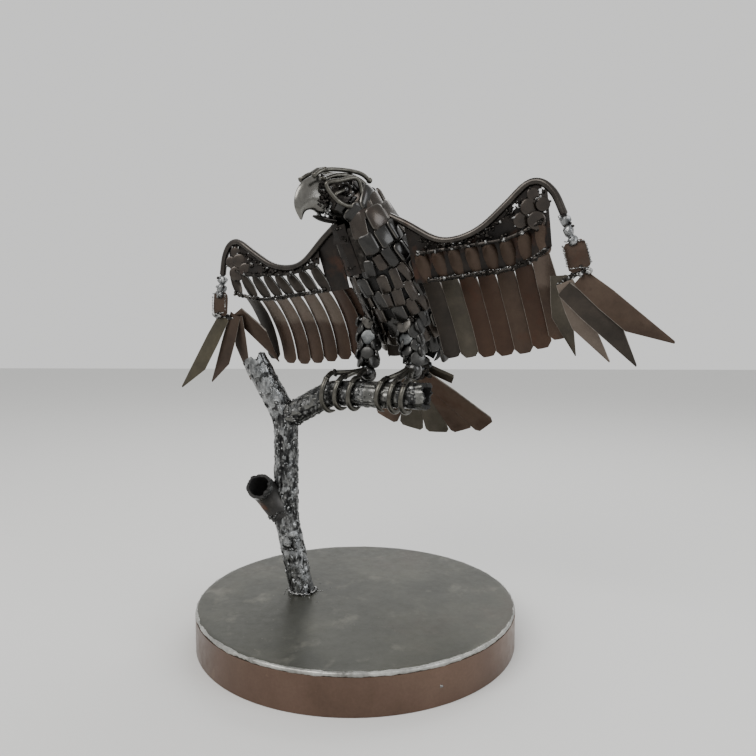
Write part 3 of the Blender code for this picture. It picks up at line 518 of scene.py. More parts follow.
def pillow(bm, dome):  # raise the upper face in two narrow steps
    face = max(bm.faces, key=lambda f: f.calc_center_median().z)
    for step, share in ((0.55, 0.4), (1.4, 0.6)):
        ring = bmesh.ops.inset_region(bm, faces=[face], thickness=step, use_even_offset=True)["faces"]
        # the first, narrow ring is marked for a rim finish of its own; on the body and neck plates that finish
        # is a painted highlight
        if step < 1:
            for rimFace in ring:
                rimFace.material_index = 1
        bmesh.ops.translate(bm, verts=face.verts[:], vec=(0, 0, dome * share))


def plateShape(width, height, thick, corner, dome):  # X across, Y along, Z out
    bm = bmesh.new()
    bmesh.ops.create_cube(bm, size=1.0)
    bmesh.ops.scale(bm, verts=bm.verts[:], vec=(width, height, thick))
    uprights = [e for e in bm.edges if abs(e.verts[0].co.z - e.verts[1].co.z) > thick / 2]
    bmesh.ops.bevel(bm, geom=uprights, offset=corner, offset_type="OFFSET", segments=3, profile=0.5,
        affect="EDGES", material=-1)
    pillow(bm, dome)
    softRim(bm, min(thick * 0.28, 0.45))
    return asShape(bm, "plateShape")


def discShape(radius, thick, dome):
    bm = bmesh.new()
    bmesh.ops.create_cone(bm, cap_ends=True, segments=24, radius1=radius, radius2=radius, depth=thick)
    pillow(bm, dome)
    softRim(bm, min(thick * 0.28, 0.45))
    return asShape(bm, "discShape")


def lumpShape(seed, rough=0.35, detail=2):
    bm = bmesh.new()
    bmesh.ops.create_icosphere(bm, subdivisions=detail, radius=1.0)
    for vert in bm.verts:
        vert.co *= 1 + rough * noise.noise(vert.co * 1.6 + Vector((seed * 7.3, 0, 0)))
    return asShape(bm, "lumpShape")


lumps = [lumpShape(k) for k in range(5)]
smallLumps = [lumpShape(k + 9, 0.3, 1) for k in range(4)]


def weld(bm, spot, size, finish=0, small=False, flat=0.75):  # one knot of weld
    shape = pick(smallLumps if small else lumps)
    turn = Matrix.Rotation(between(0, 6.28), 4, pick("XYZ"))
    scale = Matrix.Diagonal((size * between(0.8, 1.2), size * between(0.8, 1.2), size * flat, 1))
    stamp(bm, shape, Matrix.Translation(spot) @ turn @ scale, finish)


def weldRow(bm, line, size, pitch, finish=0, spread=0.4):  # a ragged seam of weld
    for point in evenLine([Vector(p) for p in line], pitch):
        off = Vector((about(1), about(1), about(1))) * size * spread
        weld(bm, point + off, size * between(0.6, 1.25), finish, True)


def lookAlong(spot, out, up):  # a frame at a spot with Z out and Y as near to up as it can be
    out = Vector(out).normalized()
    side = Vector(up).cross(out).normalized()
    turn = Matrix((side, out.cross(side), out)).transposed().to_4x4()
    return Matrix.Translation(spot) @ turn


def onCircle(angle, reach=1, z=0):
    return Vector((cos(angle) * reach, sin(angle) * reach, z))


def turned(degrees, axis):
    return Matrix.Rotation(radians(degrees), 4, axis)


def bentBar(bm, points, steps, pitch, radius, sides=12, endRadius=None, finish=0):  # a bar along a smooth curve
    roundBar(bm, evenLine(smoothLine(points, steps), pitch), radius, sides, endRadius, finish)


# Base

baseLook = {
    "radius": 149.7, "height": 35.2, "plate": 3.0, "wall": 3.0, "segments": 224,
    "beadRadius": 147.9, "beadHeight": 33.5, "beadSize": 2.2, "beadTurns": 720, "outermost": 149.95,
    "knotAngle": -62, "knots": ((0, 16, 2.0), (1.8, 15, 1.3), (-1.6, 17.5, 1.2), (0.4, 13.6, 0.9),
        (3.5, 12.5, 0.6)),
}


def ringSection(name, corners, finish, stands):  # a section spun round the base's axis
    bm = bmesh.new()
    verts = [bm.verts.new((r, 0, z)) for r, z in corners]
    edges = [bm.edges.new((a, b)) for a, b in zip(verts, verts[1:])]
    closed = abs(corners[0][0]) > 0.01
    if closed:
        edges.append(bm.edges.new((verts[-1], verts[0])))
    bmesh.ops.spin(bm, geom=verts + edges, cent=(0, 0, 0), axis=(0, 0, 1), angle=tau,
        steps=baseLook["segments"], use_merge=True)
    bmesh.ops.remove_doubles(bm, verts=bm.verts[:], dist=0.002)
    finishPiece(name, bm, sculpture, [finish], 30, stands)


def makeBase():
    r, top, plate = baseLook["radius"], baseLook["height"], baseLook["plate"]
    low = top - plate
    ringSection("base_plate", [(0, low), (r - 0.6, low), (r - 0.4, low + 1.0), (r - 1.6, top - 0.4),
        (r - 2.2, top - 0.05), (r - 6, top), (r * 0.66, top), (r * 0.33, top), (0, top)], "plateSteel",
        ["base_top_plate"])
    inner = r - baseLook["wall"]
    ringSection("base_side_band", [(inner + 0.3, 0), (r - 0.4, 0), (r, 0.4), (r, 10), (r, 22), (r, low - 0.5),
        (r - 0.3, low - 0.3), (inner, low - 0.3), (inner, 0.3)], "bandSteel", ["base_band"])
    bm = bmesh.new()
    turns, high = baseLook["beadTurns"], baseLook["beadHeight"]
    up = Vector((0, 0, 1))
    places = []
    for k in range(turns):
        point = onCircle(tau * k / turns) * baseLook["beadRadius"]
        out = point.normalized()
        turn = Matrix((out, up, out.cross(up))).transposed().to_4x4()
        places.append(Matrix.Translation(point + up * high) @ turn)
    radii = [(baseLook["beadSize"] * 0.8, baseLook["beadSize"])] * turns
    rings, first, last = growTube(bm, places, radii, 12, capped=False)
    bmesh.ops.bridge_loops(bm, edges=first + last)
    for vert in bm.verts:  # ragged run, ground flush with the plate and band
        across = vert.co.copy()
        across.z = 0
        angle = atan2(vert.co.y, vert.co.x)
        at = onCircle(angle) * 26
        swell = 0.62 + 0.34 * max(0.0, -sin(angle))
        swell = swell + 0.40 * noise.noise(at * 0.5) + 0.20 * noise.noise(at * 2.1)
        rough = 0.15 * noise.noise(vert.co * 0.55)
        vert.co.z = high + (vert.co.z - high) * swell + rough
        reach = baseLook["beadRadius"] + (across.length - baseLook["beadRadius"]) * swell * 1.15 + rough
        reach = min(reach, baseLook["outermost"])
        vert.co = onCircle(angle, reach, min(vert.co.z, baseLook["height"] + 0.35))
    finishPiece("base_rim_weld", bm, sculpture, ["groundWeld"], 60, ())
    bm = bmesh.new()
    for along, z, size in baseLook["knots"]:  # a weld knot low on the band
        angle = radians(baseLook["knotAngle"]) + along / r
        weld(bm, onCircle(angle, r - 1.2, z), size)
    finishPiece("base_band_weld", bm, sculpture, ["weldBright"], 60, ())


makeBase()
print("base done")


# Limb frames, in mm from the middle of the base

bird = sculpture @ Matrix.Translation((13.9, -30.7, 233.2)) @ turned(-28, "Z")
wingRoot = bird @ Matrix.Translation((-8, -5, 149)) @ turned(-6.4, "Y")
head = bird @ Matrix.Translation((-13, -19, 170)) @ turned(-28, "Z")


# Branch

branchLook = {
    "foot": Vector((-53.0, 12.8, 35.3)), "bend": Vector((-67.3, 12.8, 104.2)),
    "fork": Vector((-67.9, 12.8, 205.7)), "top": Vector((-98.4, 12.8, 264.7)),
    "perchBend": Vector((-22.0, -11.6, 232.2)), "perchEnd": Vector((64.5, -57.6, 234.2)),
    "radius": 11.4, "bore": 7.9, "stringers": 10, "ripple": 2.5, "step": 1.2, "sides": 80,
    "tearReach": 16.0, "boreRows": 8,
    "lean": (-0.57, -0.12, 0.82), "stubRadius": 12.3, "stubBore": 9.6,
}


def barkPipe(name, points, radius, bore, torn, bead, rule, mats, seed, drops=0):  # a pipe under its weld bead
    line = evenLine(smoothLine(points, 10), branchLook["step"])
    if (line[-1] - line[-2]).length < branchLook["step"] / 2:
        line.pop(-2)
    places = placesAlong(line)
    bm = bmesh.new()
    sides, last = branchLook["sides"], len(line) - 1
    outer, outerFirst, outerLast = growTube(bm, places, [radius] * len(line), sides, capped=False)
    few = sorted({*range(0, last, branchLook["boreRows"]), last})
    inner, innerFirst, innerLast = growTube(bm, [places[i] for i in few], [bore] * len(few), sides,
        capped=False)
    bmesh.ops.bridge_loops(bm, edges=outerFirst + innerFirst)
    bmesh.ops.bridge_loops(bm, edges=outerLast + innerLast)
    marks = {}
    rings = [(i, ring, True) for i, ring in enumerate(outer)]
    rings += zip(few, inner, [False] * len(few))
    for i, ring, skin in rings:
        back = places[i].inverted()
        run = i * branchLook["step"]
        fromEnd = (last - i) * branchLook["step"]
        for vert in ring:
            local = back @ vert.co
            angle = atan2(local.y, local.x)
            spin = onCircle(angle)
            if skin:
                wander = 0.9 * noise.noise(spin * 1.2 + Vector((seed, 0, run * 0.03)))
                lane = branchLook["stringers"] * angle / tau + wander
                number, within = floor(lane), 2 * (lane % 1) - 1
                crest = 1 - within * within
                phase = 5 * noise.noise(Vector((number * 3.7, seed, 0)))
                ripple = sin(tau * (run / branchLook["ripple"] + phase) + 2.2 * within * within)
                lump = noise.noise(spin * 2.2 + Vector((seed, 3, run * 0.16)))
                grit = noise.noise(spin * 9 + Vector((seed, 7, run * 0.8)))
                rise = bead * (0.75 * crest - 0.5 + 0.20 * ripple * crest + 0.75 * lump + 0.22 * grit)
                grow = 1 + rise / radius
                vert.co = places[i] @ Vector((local.x * grow, local.y * grow, 0))
                marks[vert] = (i / last, lump)
            if torn and fromEnd < branchLook["tearReach"]:
                tooth = 0.5 + 0.9 * noise.noise(spin * 1.7 + Vector((seed, 11, 0)))
                tooth += 0.45 * noise.noise(spin * 5.5 + Vector((seed, 13, 0)))
                pull = torn * max(0.0, min(1.25, tooth)) * (1 - fromEnd / branchLook["tearReach"]) ** 1.2
                vert.co -= (places[i].to_3x3() @ Vector((0, 0, 1))) * pull
    # faces off the outer skin, the bore and the end rings, take slot 2: near-black painted shade
    for face in bm.faces:
        known = [marks[v] for v in face.verts if v in marks]
        face.material_index = rule(*known[0]) if len(known) > 2 else 2
    for k in range(drops):  # frozen drops and short runs of weld
        i = dice.randrange(4, last - 8)
        spin = turned(between(0, 360), "Z") @ Matrix.Translation((radius + 0.1, 0, 0))
        size = between(0.6, 1.3)
        stamp(bm, pick(smallLumps), places[i] @ spin @ turned(about(25), "X")
            @ Matrix.Diagonal((size * 0.7, size, size * between(1.0, 3.6), 1)), pick((0, 1, 1)))
    finishPiece(name, bm, sculpture, mats, 70)


def trunkRule(share, lump):
    bright = 0.30 if share < 0.26 else 0.34 if share > 0.74 else -0.1
    return 1 if lump + bright > 0.2 else 0


def perchRule(share, lump):
    if 0.60 < share < 0.82 and lump < 0.25:
        return 1
    return 1 if lump > 0.30 or share > 0.95 else 0


def makeBranch():
    look = branchLook
    foot, bend, fork, top = look["foot"], look["bend"], look["fork"], look["top"]
    up = Vector((0, 0, 1))
    barkPipe("trunk_pipe", [foot, foot.lerp(bend, 0.85), bend + Vector((-0.5, 0, 6)), bend.lerp(fork, 0.5),
        fork - up * 9, fork.lerp(top, 0.12), fork.lerp(top, 0.55), top], look["radius"], look["bore"], 6.0,
        1.0, trunkRule, ["barkSteel", "barkBright", "paintedShade"], 1.0, 320)
    run = (look["perchEnd"] - look["perchBend"]).normalized()
    barkPipe("perch_pipe", [fork.lerp(look["perchBend"], 0.12), fork.lerp(look["perchBend"], 0.85),
        look["perchBend"] + run * 5, look["perchBend"].lerp(look["perchEnd"], 0.5), look["perchEnd"]],
        look["radius"], look["bore"], 5.0, 0.9, perchRule, ["barkSteel", "perchSatin", "paintedShade"], 5.0, 150)
    lean = Vector(look["lean"]).normalized()
    start = bend + Vector((0.5, 0, 1.5))
    barkPipe("lower_stub_pipe", [start + lean * 8, start + lean * 25,
        start + lean * 37 + Vector((0, -3.5, 1)), start + lean * 43 + Vector((-1, -13.0, 3.5))],
        look["stubRadius"], look["stubBore"], 4.2, 0.35, lambda share, lump: 0 if share < 0.86 else 1,
        ["stubSteel", "barkBright", "paintedShade"], 9.0)
    bm = bmesh.new()  # weld round the foot, at the fork and at the stub
    for k in range(54):
        angle = tau * k / 54
        reach = 12.2 + between(-0.4, 1.2)
        spot = foot + onCircle(angle, reach, between(0.3, 2.0))
        weld(bm, spot, between(1.0, 1.9))
    for k in range(46):  # spatter on the plate
        angle, reach = between(0, tau), 14 + abs(dice.gauss(0, 6))
        weld(bm, foot + onCircle(angle, reach, 0.1), between(0.25, 0.8), small=True)
    finishPiece("trunk_foot_weld", bm, sculpture, ["weldBright"], 70, ())
    bm = bmesh.new()
    places = placesAlong([start, start + lean * 13, start + lean * 14])
    for k in range(34):
        angle = tau * k / 34
        weld(bm, places[1] @ onCircle(angle, 12.4, between(-5, 2)), between(0.9, 1.6))
    perchStart = fork.lerp(look["perchBend"], 0.24)
    places = placesAlong([fork, perchStart, look["perchBend"]])
    for k in range(34):
        angle = tau * k / 34
        weld(bm, places[1] @ onCircle(angle, 11.6, between(-4, 2)), between(1.0, 1.9), pick((0, 0, 1)))
    finishPiece("fork_weld", bm, sculpture, ["barkSteel", "weldBright"], 70, ())


makeBranch()
print("branch done")


# Strips: feathers, bars and coverts

def widthAt(widths, share):
    for (a, near, far), (b, nearNext, farNext) in zip(widths, widths[1:]):
        if share <= b:
            u = (share - a) / (b - a)
            return near + (nearNext - near) * u, far + (farNext - far) * u
    return widths[-1][1:]


def strip(bm, root, tip, facing, widths, thick, bow=0.0, crown=0.0, finish=0, edge=1, rows=26, across=8):
    made = bmesh.new()
    root, tip, facing = Vector(root), Vector(tip), Vector(facing)
    lie = (tip - root).normalized()
    side = lie.cross(facing).normalized()
    out = side.cross(lie).normalized()
    grid = bmesh.ops.create_grid(made, x_segments=across, y_segments=rows, size=1)["verts"]
    shares = [row / rows for row in range(rows + 1)]
    for knot, near, far in widths:
        shares[round(knot * rows)] = knot
    wave = 0.3  # how far in mm it wanders off its curve
    rim = 0.024  # share of the width that the painted edge highlight takes
    columns = [0.0] + [rim + (1 - 2 * rim) * column / (across - 2) for column in range(across - 1)] + [1.0]
    place = {}
    shake = between(0, 50)
    for index, vert in enumerate(grid):
        row, column = divmod(index, across + 1)
        share, over = shares[row], columns[column]
        place[vert] = column
        near, far = widthAt(widths, share)
        back = bow * 4 * share * (1 - share) + crown * (2 * over - 1) ** 2
        back += wave * noise.noise(Vector((share * 2.4, over * 1.2, shake)))
        vert.co = root.lerp(tip, share) + side * (-near + (near + far) * over) - out * back
    # the two narrow outer columns and the cut sides take the edge finish; on feather, tail and belly strips
    # that finish is a painted highlight
    for face in made.faces:
        lanes = [place[vert] for vert in face.verts]
        face.material_index = 1 if max(lanes) < 2 or min(lanes) > across - 2 else 0
    before = sum((v.co for v in made.verts), Vector()) / len(made.verts)
    bmesh.ops.solidify(made, geom=made.faces[:], thickness=thick)
    after = sum((v.co for v in made.verts), Vector()) / len(made.verts)
    bmesh.ops.translate(made, verts=made.verts[:], vec=out * (before - after).dot(out))
    made.normal_update()
    for face in made.faces:
        face.material_index = edge if face.material_index or abs(face.normal.dot(out)) < 0.5 else finish
    softRim(made, min(0.3, thick * 0.22), 60, 1)
    shape = asShape(made, "stripShape")
    bm.from_mesh(shape)
    bpy.data.meshes.remove(shape)


def bluntWidths(width):
    half = width / 2
    return ((0, half * 0.86, half * 0.86), (0.3, half, half), (0.62, half, half), (0.94, half, half),
        (1, half * 0.55, half * 0.55))


def pointedWidths(width, outside, cut):
    half = width / 2
    near, far = (half, -half + 0.9) if outside > 0 else (-half + 0.9, half)
    return ((0, half * 0.8, half * 0.8), (0.3, half, half), (cut, half, half), (1, near, far))


def plainWidths(width):
    return ((0, width / 2, width / 2), (1, width / 2, width / 2))


def looking(side, degrees):
    return Vector((side * sin(radians(degrees)), -cos(radians(degrees)), 0))


# Feet and legs

coins = [discShape(7.75, 2.4, 0.7), discShape(6.9, 2.4, 1.0), discShape(7.4, 2.4, 0.35)]
ankleDisc = discShape(8.3, 3.2, 1.5)


def smoothBall(bm, spot, radius, finish):
    made = bmesh.new()
    bmesh.ops.create_uvsphere(made, u_segments=24, v_segments=14, radius=radius,
        matrix=Matrix.Translation(spot))
    addShape(bm, made, finish)


footLook = {
    "apart": 27, "reach": 14.3, "knee": (13.0, 17.5), "start": 104, "bends": 8, "pitch": 1.4,
    "radius": 2.35, "swell": 1.5, "swellRun": 12, "claw": 0.45, "clawSwell": 1.9, "clawRun": 8,
    "left": {"side": 1, "ankle": (28, 30, 23.5), "toes": ((-13, 80, 0), (-1, 118, 0), (10, 112, 0))},
    "right": {"side": -1, "ankle": (-19, 30, 18.5), "toes": ((-13, 100, 3.5), (-1.5, 108, 0.5),
        (12, 120, 0))},
}


def makeFoot(name):
    look = footLook[name]
    bm = bmesh.new()
    ankle = Vector(look["ankle"])
    bends, run = footLook["bends"], footLook["clawRun"]
    for offset, last, off in look["toes"]:
        reach = footLook["reach"] + off
        x = look["side"] * footLook["apart"] + offset
        points = [ankle, Vector((ankle.x * 0.45 + x * 0.55, *footLook["knee"]))]
        for step in range(bends):
            angle = radians(footLook["start"] - (footLook["start"] + last) * step / (bends - 1))
            points.append(Vector((x + 1.2 * sin(step), -reach * cos(angle), reach * sin(angle))))
        line = evenLine(smoothLine(points, 4), footLook["pitch"])
        thick, swell, fade = footLook["radius"], footLook["swell"], footLook["swellRun"]
        radii = [thick + swell * max(0.0, 1 - k / fade) for k in range(len(line))]
        for k in range(run):  # the claw's point
            radii[-1 - k] = footLook["claw"] + footLook["clawSwell"] * (k / run) ** 0.7
        made = bmesh.new()
        growTube(made, placesAlong(line), radii, 14)
        addShape(bm, made, 0)
        for share in (0.2, 0.45):  # knots where the toe was heated and bent
            spot = points[int(share * len(points))]
            weld(bm, spot, 3.1, pick((0, 3)), flat=0.9)
    smoothBall(bm, ankle, 5.6, 1)
    smoothBall(bm, ankle + Vector((1.5, -3.0, -2.0)), 7.2, 1)
    stamp(bm, ankleDisc, lookAlong(ankle + Vector((0, -1.5, -3.4)), (0.2, -1, 0.1), (0, 0, 1)), 1)
    smoothBall(bm, ankle + Vector((0.5, -5.2, 3.2)), 2.6, 2)
    for k in range(9):
        spot = ankle + Vector((about(6), between(-6, 2), between(-9, 1)))
        weld(bm, spot, between(1.0, 2.0), pick((2, 3)))
    finishPiece(name + "_foot", bm, bird, ["toeSteel", "ballSteel", "coinSteel", "weldDark"],
        50)


legLook = {
    "tints": (1, 2, 0, 2, 2, 2), "pin": 4.6, "pinEnd": 3.6, "wide": 10.8, "deep": 6.3, "taper": 0.2,
    "shrink": 0.14, "even": (0, -104, 104, 180), "odd": (-54, 54, 150, -150), "twist": 14, "beadRows": (0, 3),
    "hips": {"left": (23, 31, 61), "right": (-22, 39, 65)},
}


def makeLeg(name):
    side = footLook[name]["side"]
    bm = bmesh.new()
    hip = Vector(legLook["hips"][name])
    low = Vector(footLook[name]["ankle"]) + Vector((0, -1, 8.5))
    roundBar(bm, [hip, hip.lerp(low, 0.5), hip.lerp(low, 0.97)], legLook["pin"], 14, legLook["pinEnd"], 2)
    number, rows = 0, len(legLook["tints"])
    for row, tint in enumerate(legLook["tints"]):
        share = row / (rows - 1)
        centre = hip.lerp(low, share)
        for k, turn in enumerate(legLook["odd"] if row % 2 else legLook["even"]):
            angle = radians(turn - legLook["twist"] * side + about(8))
            away = Vector((sin(angle), -cos(angle), 0))
            off = Vector((away.x * legLook["wide"], away.y * legLook["deep"], about(0.8)))
            spot = centre + off * (1 - legLook["taper"] * share)
            place = lookAlong(spot, away + Vector((0, 0, between(0.05, 0.35))), (0, 0, 1))
            place = place @ Matrix.Scale((1 - legLook["shrink"] * share) * between(0.94, 1.04), 4)
            front = k == 0 or (row % 2 and k == 1)
            stamp(bm, coins[number % 3], place, tint if front else 2)
            if front and row in legLook["beadRows"]:  # a bead in the middle of a front disc
                weld(bm, place @ Vector((about(1), about(1), 1.9)), 1.3, 3, flat=0.6)
            weld(bm, place @ Vector((about(3), 6.8, -0.5)), 1.7, 4)
            number += 1
    for reach in (6, 10):  # thin blades down the outer side
        blade = hip + Vector((side * reach, -3, 3))
        strip(bm, blade, blade + Vector((side * 6, 3, -37)), (side, -0.25, 0.1), plainWidths(7.5), 1.2, 2.0,
            0, 2, 2, 14, 4)
    for k in range(16):  # the knot of weld at the hip
        weld(bm, hip + Vector((about(6), between(-8, -2), between(1, 7))), between(1.2, 2.3), pick((3, 4, 4)))
    finishPiece(name + "_leg", bm, bird, ["coinSteel", "coinPale", "coinDark", "weldBright", "weldDark"],
        50)


makeFoot("left")
makeFoot("right")
makeLeg("left")
makeLeg("right")
print("legs done")


# Body: lapped plates on a shell, by area

bodyLine = [Vector(k) for k in ((-12, -8, 171), (-6, -1, 150), (1, 18, 122), (6, 40, 97), (8, 63, 70),
    (8, 81, 46), (4, 93, 24))]
bodySize = [Vector(k) for k in ((18.5, 18.5, 0), (26, 26, 0), (32.5, 30, 0), (36, 32, 0), (35.5, 30.5, 0),
    (31, 24, 0), (18, 12.5, 0))]
bodyLook = {
    "length": 182.0, "sink": 2.4, "wall": 1.3, "rowPitch": 14.2, "columnPitch": 12.2, "shapeWidth": 12.8,
    "tilt": -12, "corners": ((-5.5, -8), (5.5, -8), (0, 8)),
}
scaleShapes = [plateShape(12.4, 19.5, 1.7, 3.0, 1.1), plateShape(13.4, 18, 1.7, 4.0, 1.5),
    plateShape(11.4, 21, 1.7, 2.6, 0.9), plateShape(12.8, 20, 1.7, 3.6, 1.7)]


def knotBlend(knots, t):
    span = t * (len(knots) - 1)
    i = min(max(int(span), 0), len(knots) - 2)
    u = span - i
    a, b, c, d = [knots[min(max(k, 0), len(knots) - 1)] for k in range(i - 1, i + 3)]
    return 0.5 * (2 * b + (c - a) * u + (2 * a - 5 * b + 4 * c - d) * u * u + (3 * b - a - 3 * c + d) * u ** 3)


def bodySpot(t, degrees):  # a spot on the body, the way out and the way up the body
    centre, size = knotBlend(bodyLine, t), knotBlend(bodySize, t)
    along = (knotBlend(bodyLine, min(t + 0.01, 1)) - knotBlend(bodyLine, max(t - 0.01, 0))).normalized()
    left = Vector((1, 0, 0))
    left = (left - along * left.dot(along)).normalized()
    back = left.cross(along).normalized()
    if back.y < 0:
        back = -back
    angle = radians(degrees)
    out = (left * sin(angle) / size.x + back * cos(angle) / size.y).normalized()
    return centre + left * size.x * sin(angle) + back * size.y * cos(angle), out, -along


def makePlates(name, span, turn, tints=(0, 0, 0, 1), lift=0.9, big=1.0, extras=()):
    bm = bmesh.new()
    (start, end), (first, last) = span, turn
    rows, columns = max(6, round((end - start) * 40)), max(6, round((last - first) / 8))
    grid = bmesh.ops.create_grid(bm, x_segments=columns, y_segments=rows, size=1)["verts"]
    for index, vert in enumerate(grid):
        down, across = divmod(index, columns + 1)
        spot, out, up = bodySpot(start + (end - start) * down / rows,
            first + (last - first) * across / columns)
        vert.co = spot - out * (bodyLook["sink"] + 0.5 * noise.noise(spot * 0.4))
    bmesh.ops.solidify(bm, geom=bm.faces[:], thickness=bodyLook["wall"])
    # the shell under the plates is near-black painted shade, so the gaps between plates read dark
    for face in bm.faces:
        face.material_index = 2
    count = max(1, round((end - start) * bodyLook["length"] / bodyLook["rowPitch"]))
    for row in range(count):
        t = start + (end - start) * (row + 0.45) / count
        size = knotBlend(bodySize, t)
        arc = pi * (size.x + size.y) * (last - first) / 360
        plates = max(1, round(arc / bodyLook["columnPitch"] / big))
        for k in range(plates):
            degrees = first + (last - first) * (k + 0.5 + 0.25 * (1 if row % 2 else -1)) / plates
            degrees += about(1.5)
            spot, out, up = bodySpot(t + about(0.006), degrees)
            place = lookAlong(spot + out * (lift + between(-1.1, 0.6)), out, up)
            place = place @ turned(about(10), "Z") @ turned(bodyLook["tilt"] + about(5), "X")
            place = place @ turned(about(9), "Y")
            place = place @ Matrix.Diagonal((arc / plates / bodyLook["shapeWidth"] * between(0.86, 1.0),
                big * between(0.84, 1.0), 1, 1))
            # each plate's narrow rim takes slot 5, a painted highlight
            stamp(bm, pick(scaleShapes), place, pick(tints), 5)
            for corner in bodyLook["corners"]:
                if dice.random() < 0.3:
                    weld(bm, place @ Vector((*corner, 0.6)), between(0.8, 1.6), pick((3, 3, 4)), True)
    for t, degrees, turn in extras:  # a disc lying on the plates, or a plate set on edge
        spot, out, up = bodySpot(t, degrees)
        if turn:
            stamp(bm, scaleShapes[2], lookAlong(spot + out * 0.5, out.cross(up) + out * 0.3, up), 0, 5)
        else:
            stamp(bm, coins[2], lookAlong(spot + out * 1.2, out, up) @ turned(-14, "X"), 0, 5)
    finishPiece(name, bm, bird, ["scaleDark", "scaleBrown", "paintedShade", "weldDark", "weldBright", "scaleRimHighlight"],
        42)


def makeBody():
    top = 0.184
    makePlates("back_plates", (top, 0.97), (-46, 46))
    makePlates("left_flank_plates", (top, 0.92), (46, 118), extras=((0.62, 82, 0), (0.71, 76, 0),
        (0.80, 84, 0), (0.88, 78, 0)))
    makePlates("right_flank_plates", (top, 0.92), (-118, -46))
    makePlates("left_breast_plates", (top, 0.80), (118, 176), (0, 0, 1, 1))
    makePlates("right_breast_plates", (0.26, 0.80), (176, 242), (0, 1, 1),
        extras=((0.44, 204, 1), (0.51, 208, 1), (0.58, 203, 1), (0.64, 209, 1)))
    makePlates("nape_plates", (0.02, 0.18), (-52, 52), (0, 0, 0, 1), 0.4, 1.2)
    makePlates("left_neck_plates", (0.05, 0.185), (52, 168), (0, 1, 1), 0.6, 1.25)
    makePlates("right_neck_plates", (0.06, 0.18), (-136, -52), (0, 0, 1), 0.4, 1.2)


makeBody()
print("body done")


# Wings

wingLook = {
    "outermost": 149.4, "sweep": 0.1, "depth": 60.0, "width": 17.0, "sheet": 1.5, "louvre": 10, "bow": 6.5,
    "crown": 0.8,
    "lozenge": ((0, 3.2), (0.14, 5.1), (0.38, 6.0), (0.62, 5.9), (0.88, 4.6), (1, 3.0)),
    "crescent": ((0, 3.2), (0.15, 4.8), (0.4, 5.7), (0.65, 5.7), (0.88, 4.6), (1, 3.0)),
    "discs": ((151, -21, 7.6), (146, -9.5, 7.0), (139, -19, 6.6), (157, -9, 5.8), (150, 0.2, 5.0)),
    "plate": ((0, 6.4, 6.4), (0.14, 9.0, 9.0), (0.86, 9.0, 9.0), (1, 6.4, 6.4)),
    "frame": (((-7, -41.0), (7.2, -41.8)), ((8.8, -45), (11.0, -59)), ((-9.2, -44), (-7.0, -60)),
        ((-5, -62.2), (9, -62.6))),
    "left": {
        "side": 1, "width": 17.0, "pitch": 16.2, "drop": 62.0, "inset": 0.0, "lift": 0.0,
        "covertTint": "featherBrown",
        "tints": ("featherDark", "featherGrey", "featherRust", "featherRust", "featherBrown", "featherRust",
            "featherTip"),
        "primaryTints": ("featherBrown", "featherDark", "featherPale", "featherGrey"),
        "primaries": ((185, -75, 243, -125, 0, 1), (172, -82, 213, -141, 6, -1),
            (169, -79, 192, -136, 18, 1), (162, -73, 164, -129, 27, 1)),
    },
    "right": {
        "side": -1, "width": 18.6, "pitch": 17.2, "drop": 58.0, "inset": 3.0, "lift": 5.0,
        "covertTint": "featherDark",
        "tints": ("featherRust", *("featherPink",) * 5, "featherDark"),
        "primaryTints": ("featherOlive", "featherBrown", "featherBrown", "featherBrown"),
        "primaries": ((184, -66, 254, -127, 2, 1), (168, -67, 217, -124, 10, 1),
            (163, -69, 174, -126, 24, -1), (157, -64, 143, -110, 34, 1)),
    },
    "rod": ((24, 5), (42, -6), (66, -22.5), (85, -25.5), (106, -19.5), (127, -5), (145, 8.5), (157, 8.5),
        (166, -1.5), (172, -19)),
}


def wingSpot(side, out, up, behind=0.0):
    return Vector((side * out, wingLook["sweep"] * out + behind, up))


def hangLine(wing, out):
    rise = 0.006 * max(0.0, out - 114) ** 2
    return wing["lift"] + rise - wingLook["depth"], 15.0 - 1.1 * rise


def rodHeight(out):
    for (a, low), (b, high) in zip(wingLook["rod"], wingLook["rod"][1:]):
        if a <= out <= b:
            return low + (high - low) * (out - a) / (b - a)
    return wingLook["rod"][0][1]


def makeSecondaries(name, wing):
    side = wing["side"]
    for k in range(7):
        out = wingLook["outermost"] - wing["pitch"] * (6 - k) - wing["inset"]
        up, behind = hangLine(wing, out)
        drop = wing["drop"] + 3.0 * sin(pi * (k + 0.5) / 7)
        bm = bmesh.new()
        strip(bm, wingSpot(side, out - 0.1, up + 5, behind + 0.8),
            wingSpot(side, out + 1.5, up - drop, behind + 33), looking(side, wingLook["louvre"]),
            bluntWidths(wing["width"]), wingLook["sheet"], wingLook["bow"], wingLook["crown"])
        if k == 0 and side < 0:  # the innermost strip is lapped by one nearer to the body
            inner = out - 9.5
            strip(bm, wingSpot(side, inner, up + 5, behind + 4),
                wingSpot(side, inner + 1.5, up - drop, behind + 36), looking(side, wingLook["louvre"]),
                bluntWidths(wing["width"] * 0.8), wingLook["sheet"], wingLook["bow"], wingLook["crown"])
        piece = "%s_secondary_%d" % (name, k + 1)
        finishPiece(piece, bm, wingRoot, [wing["tints"][k], "edgeHighlight"])


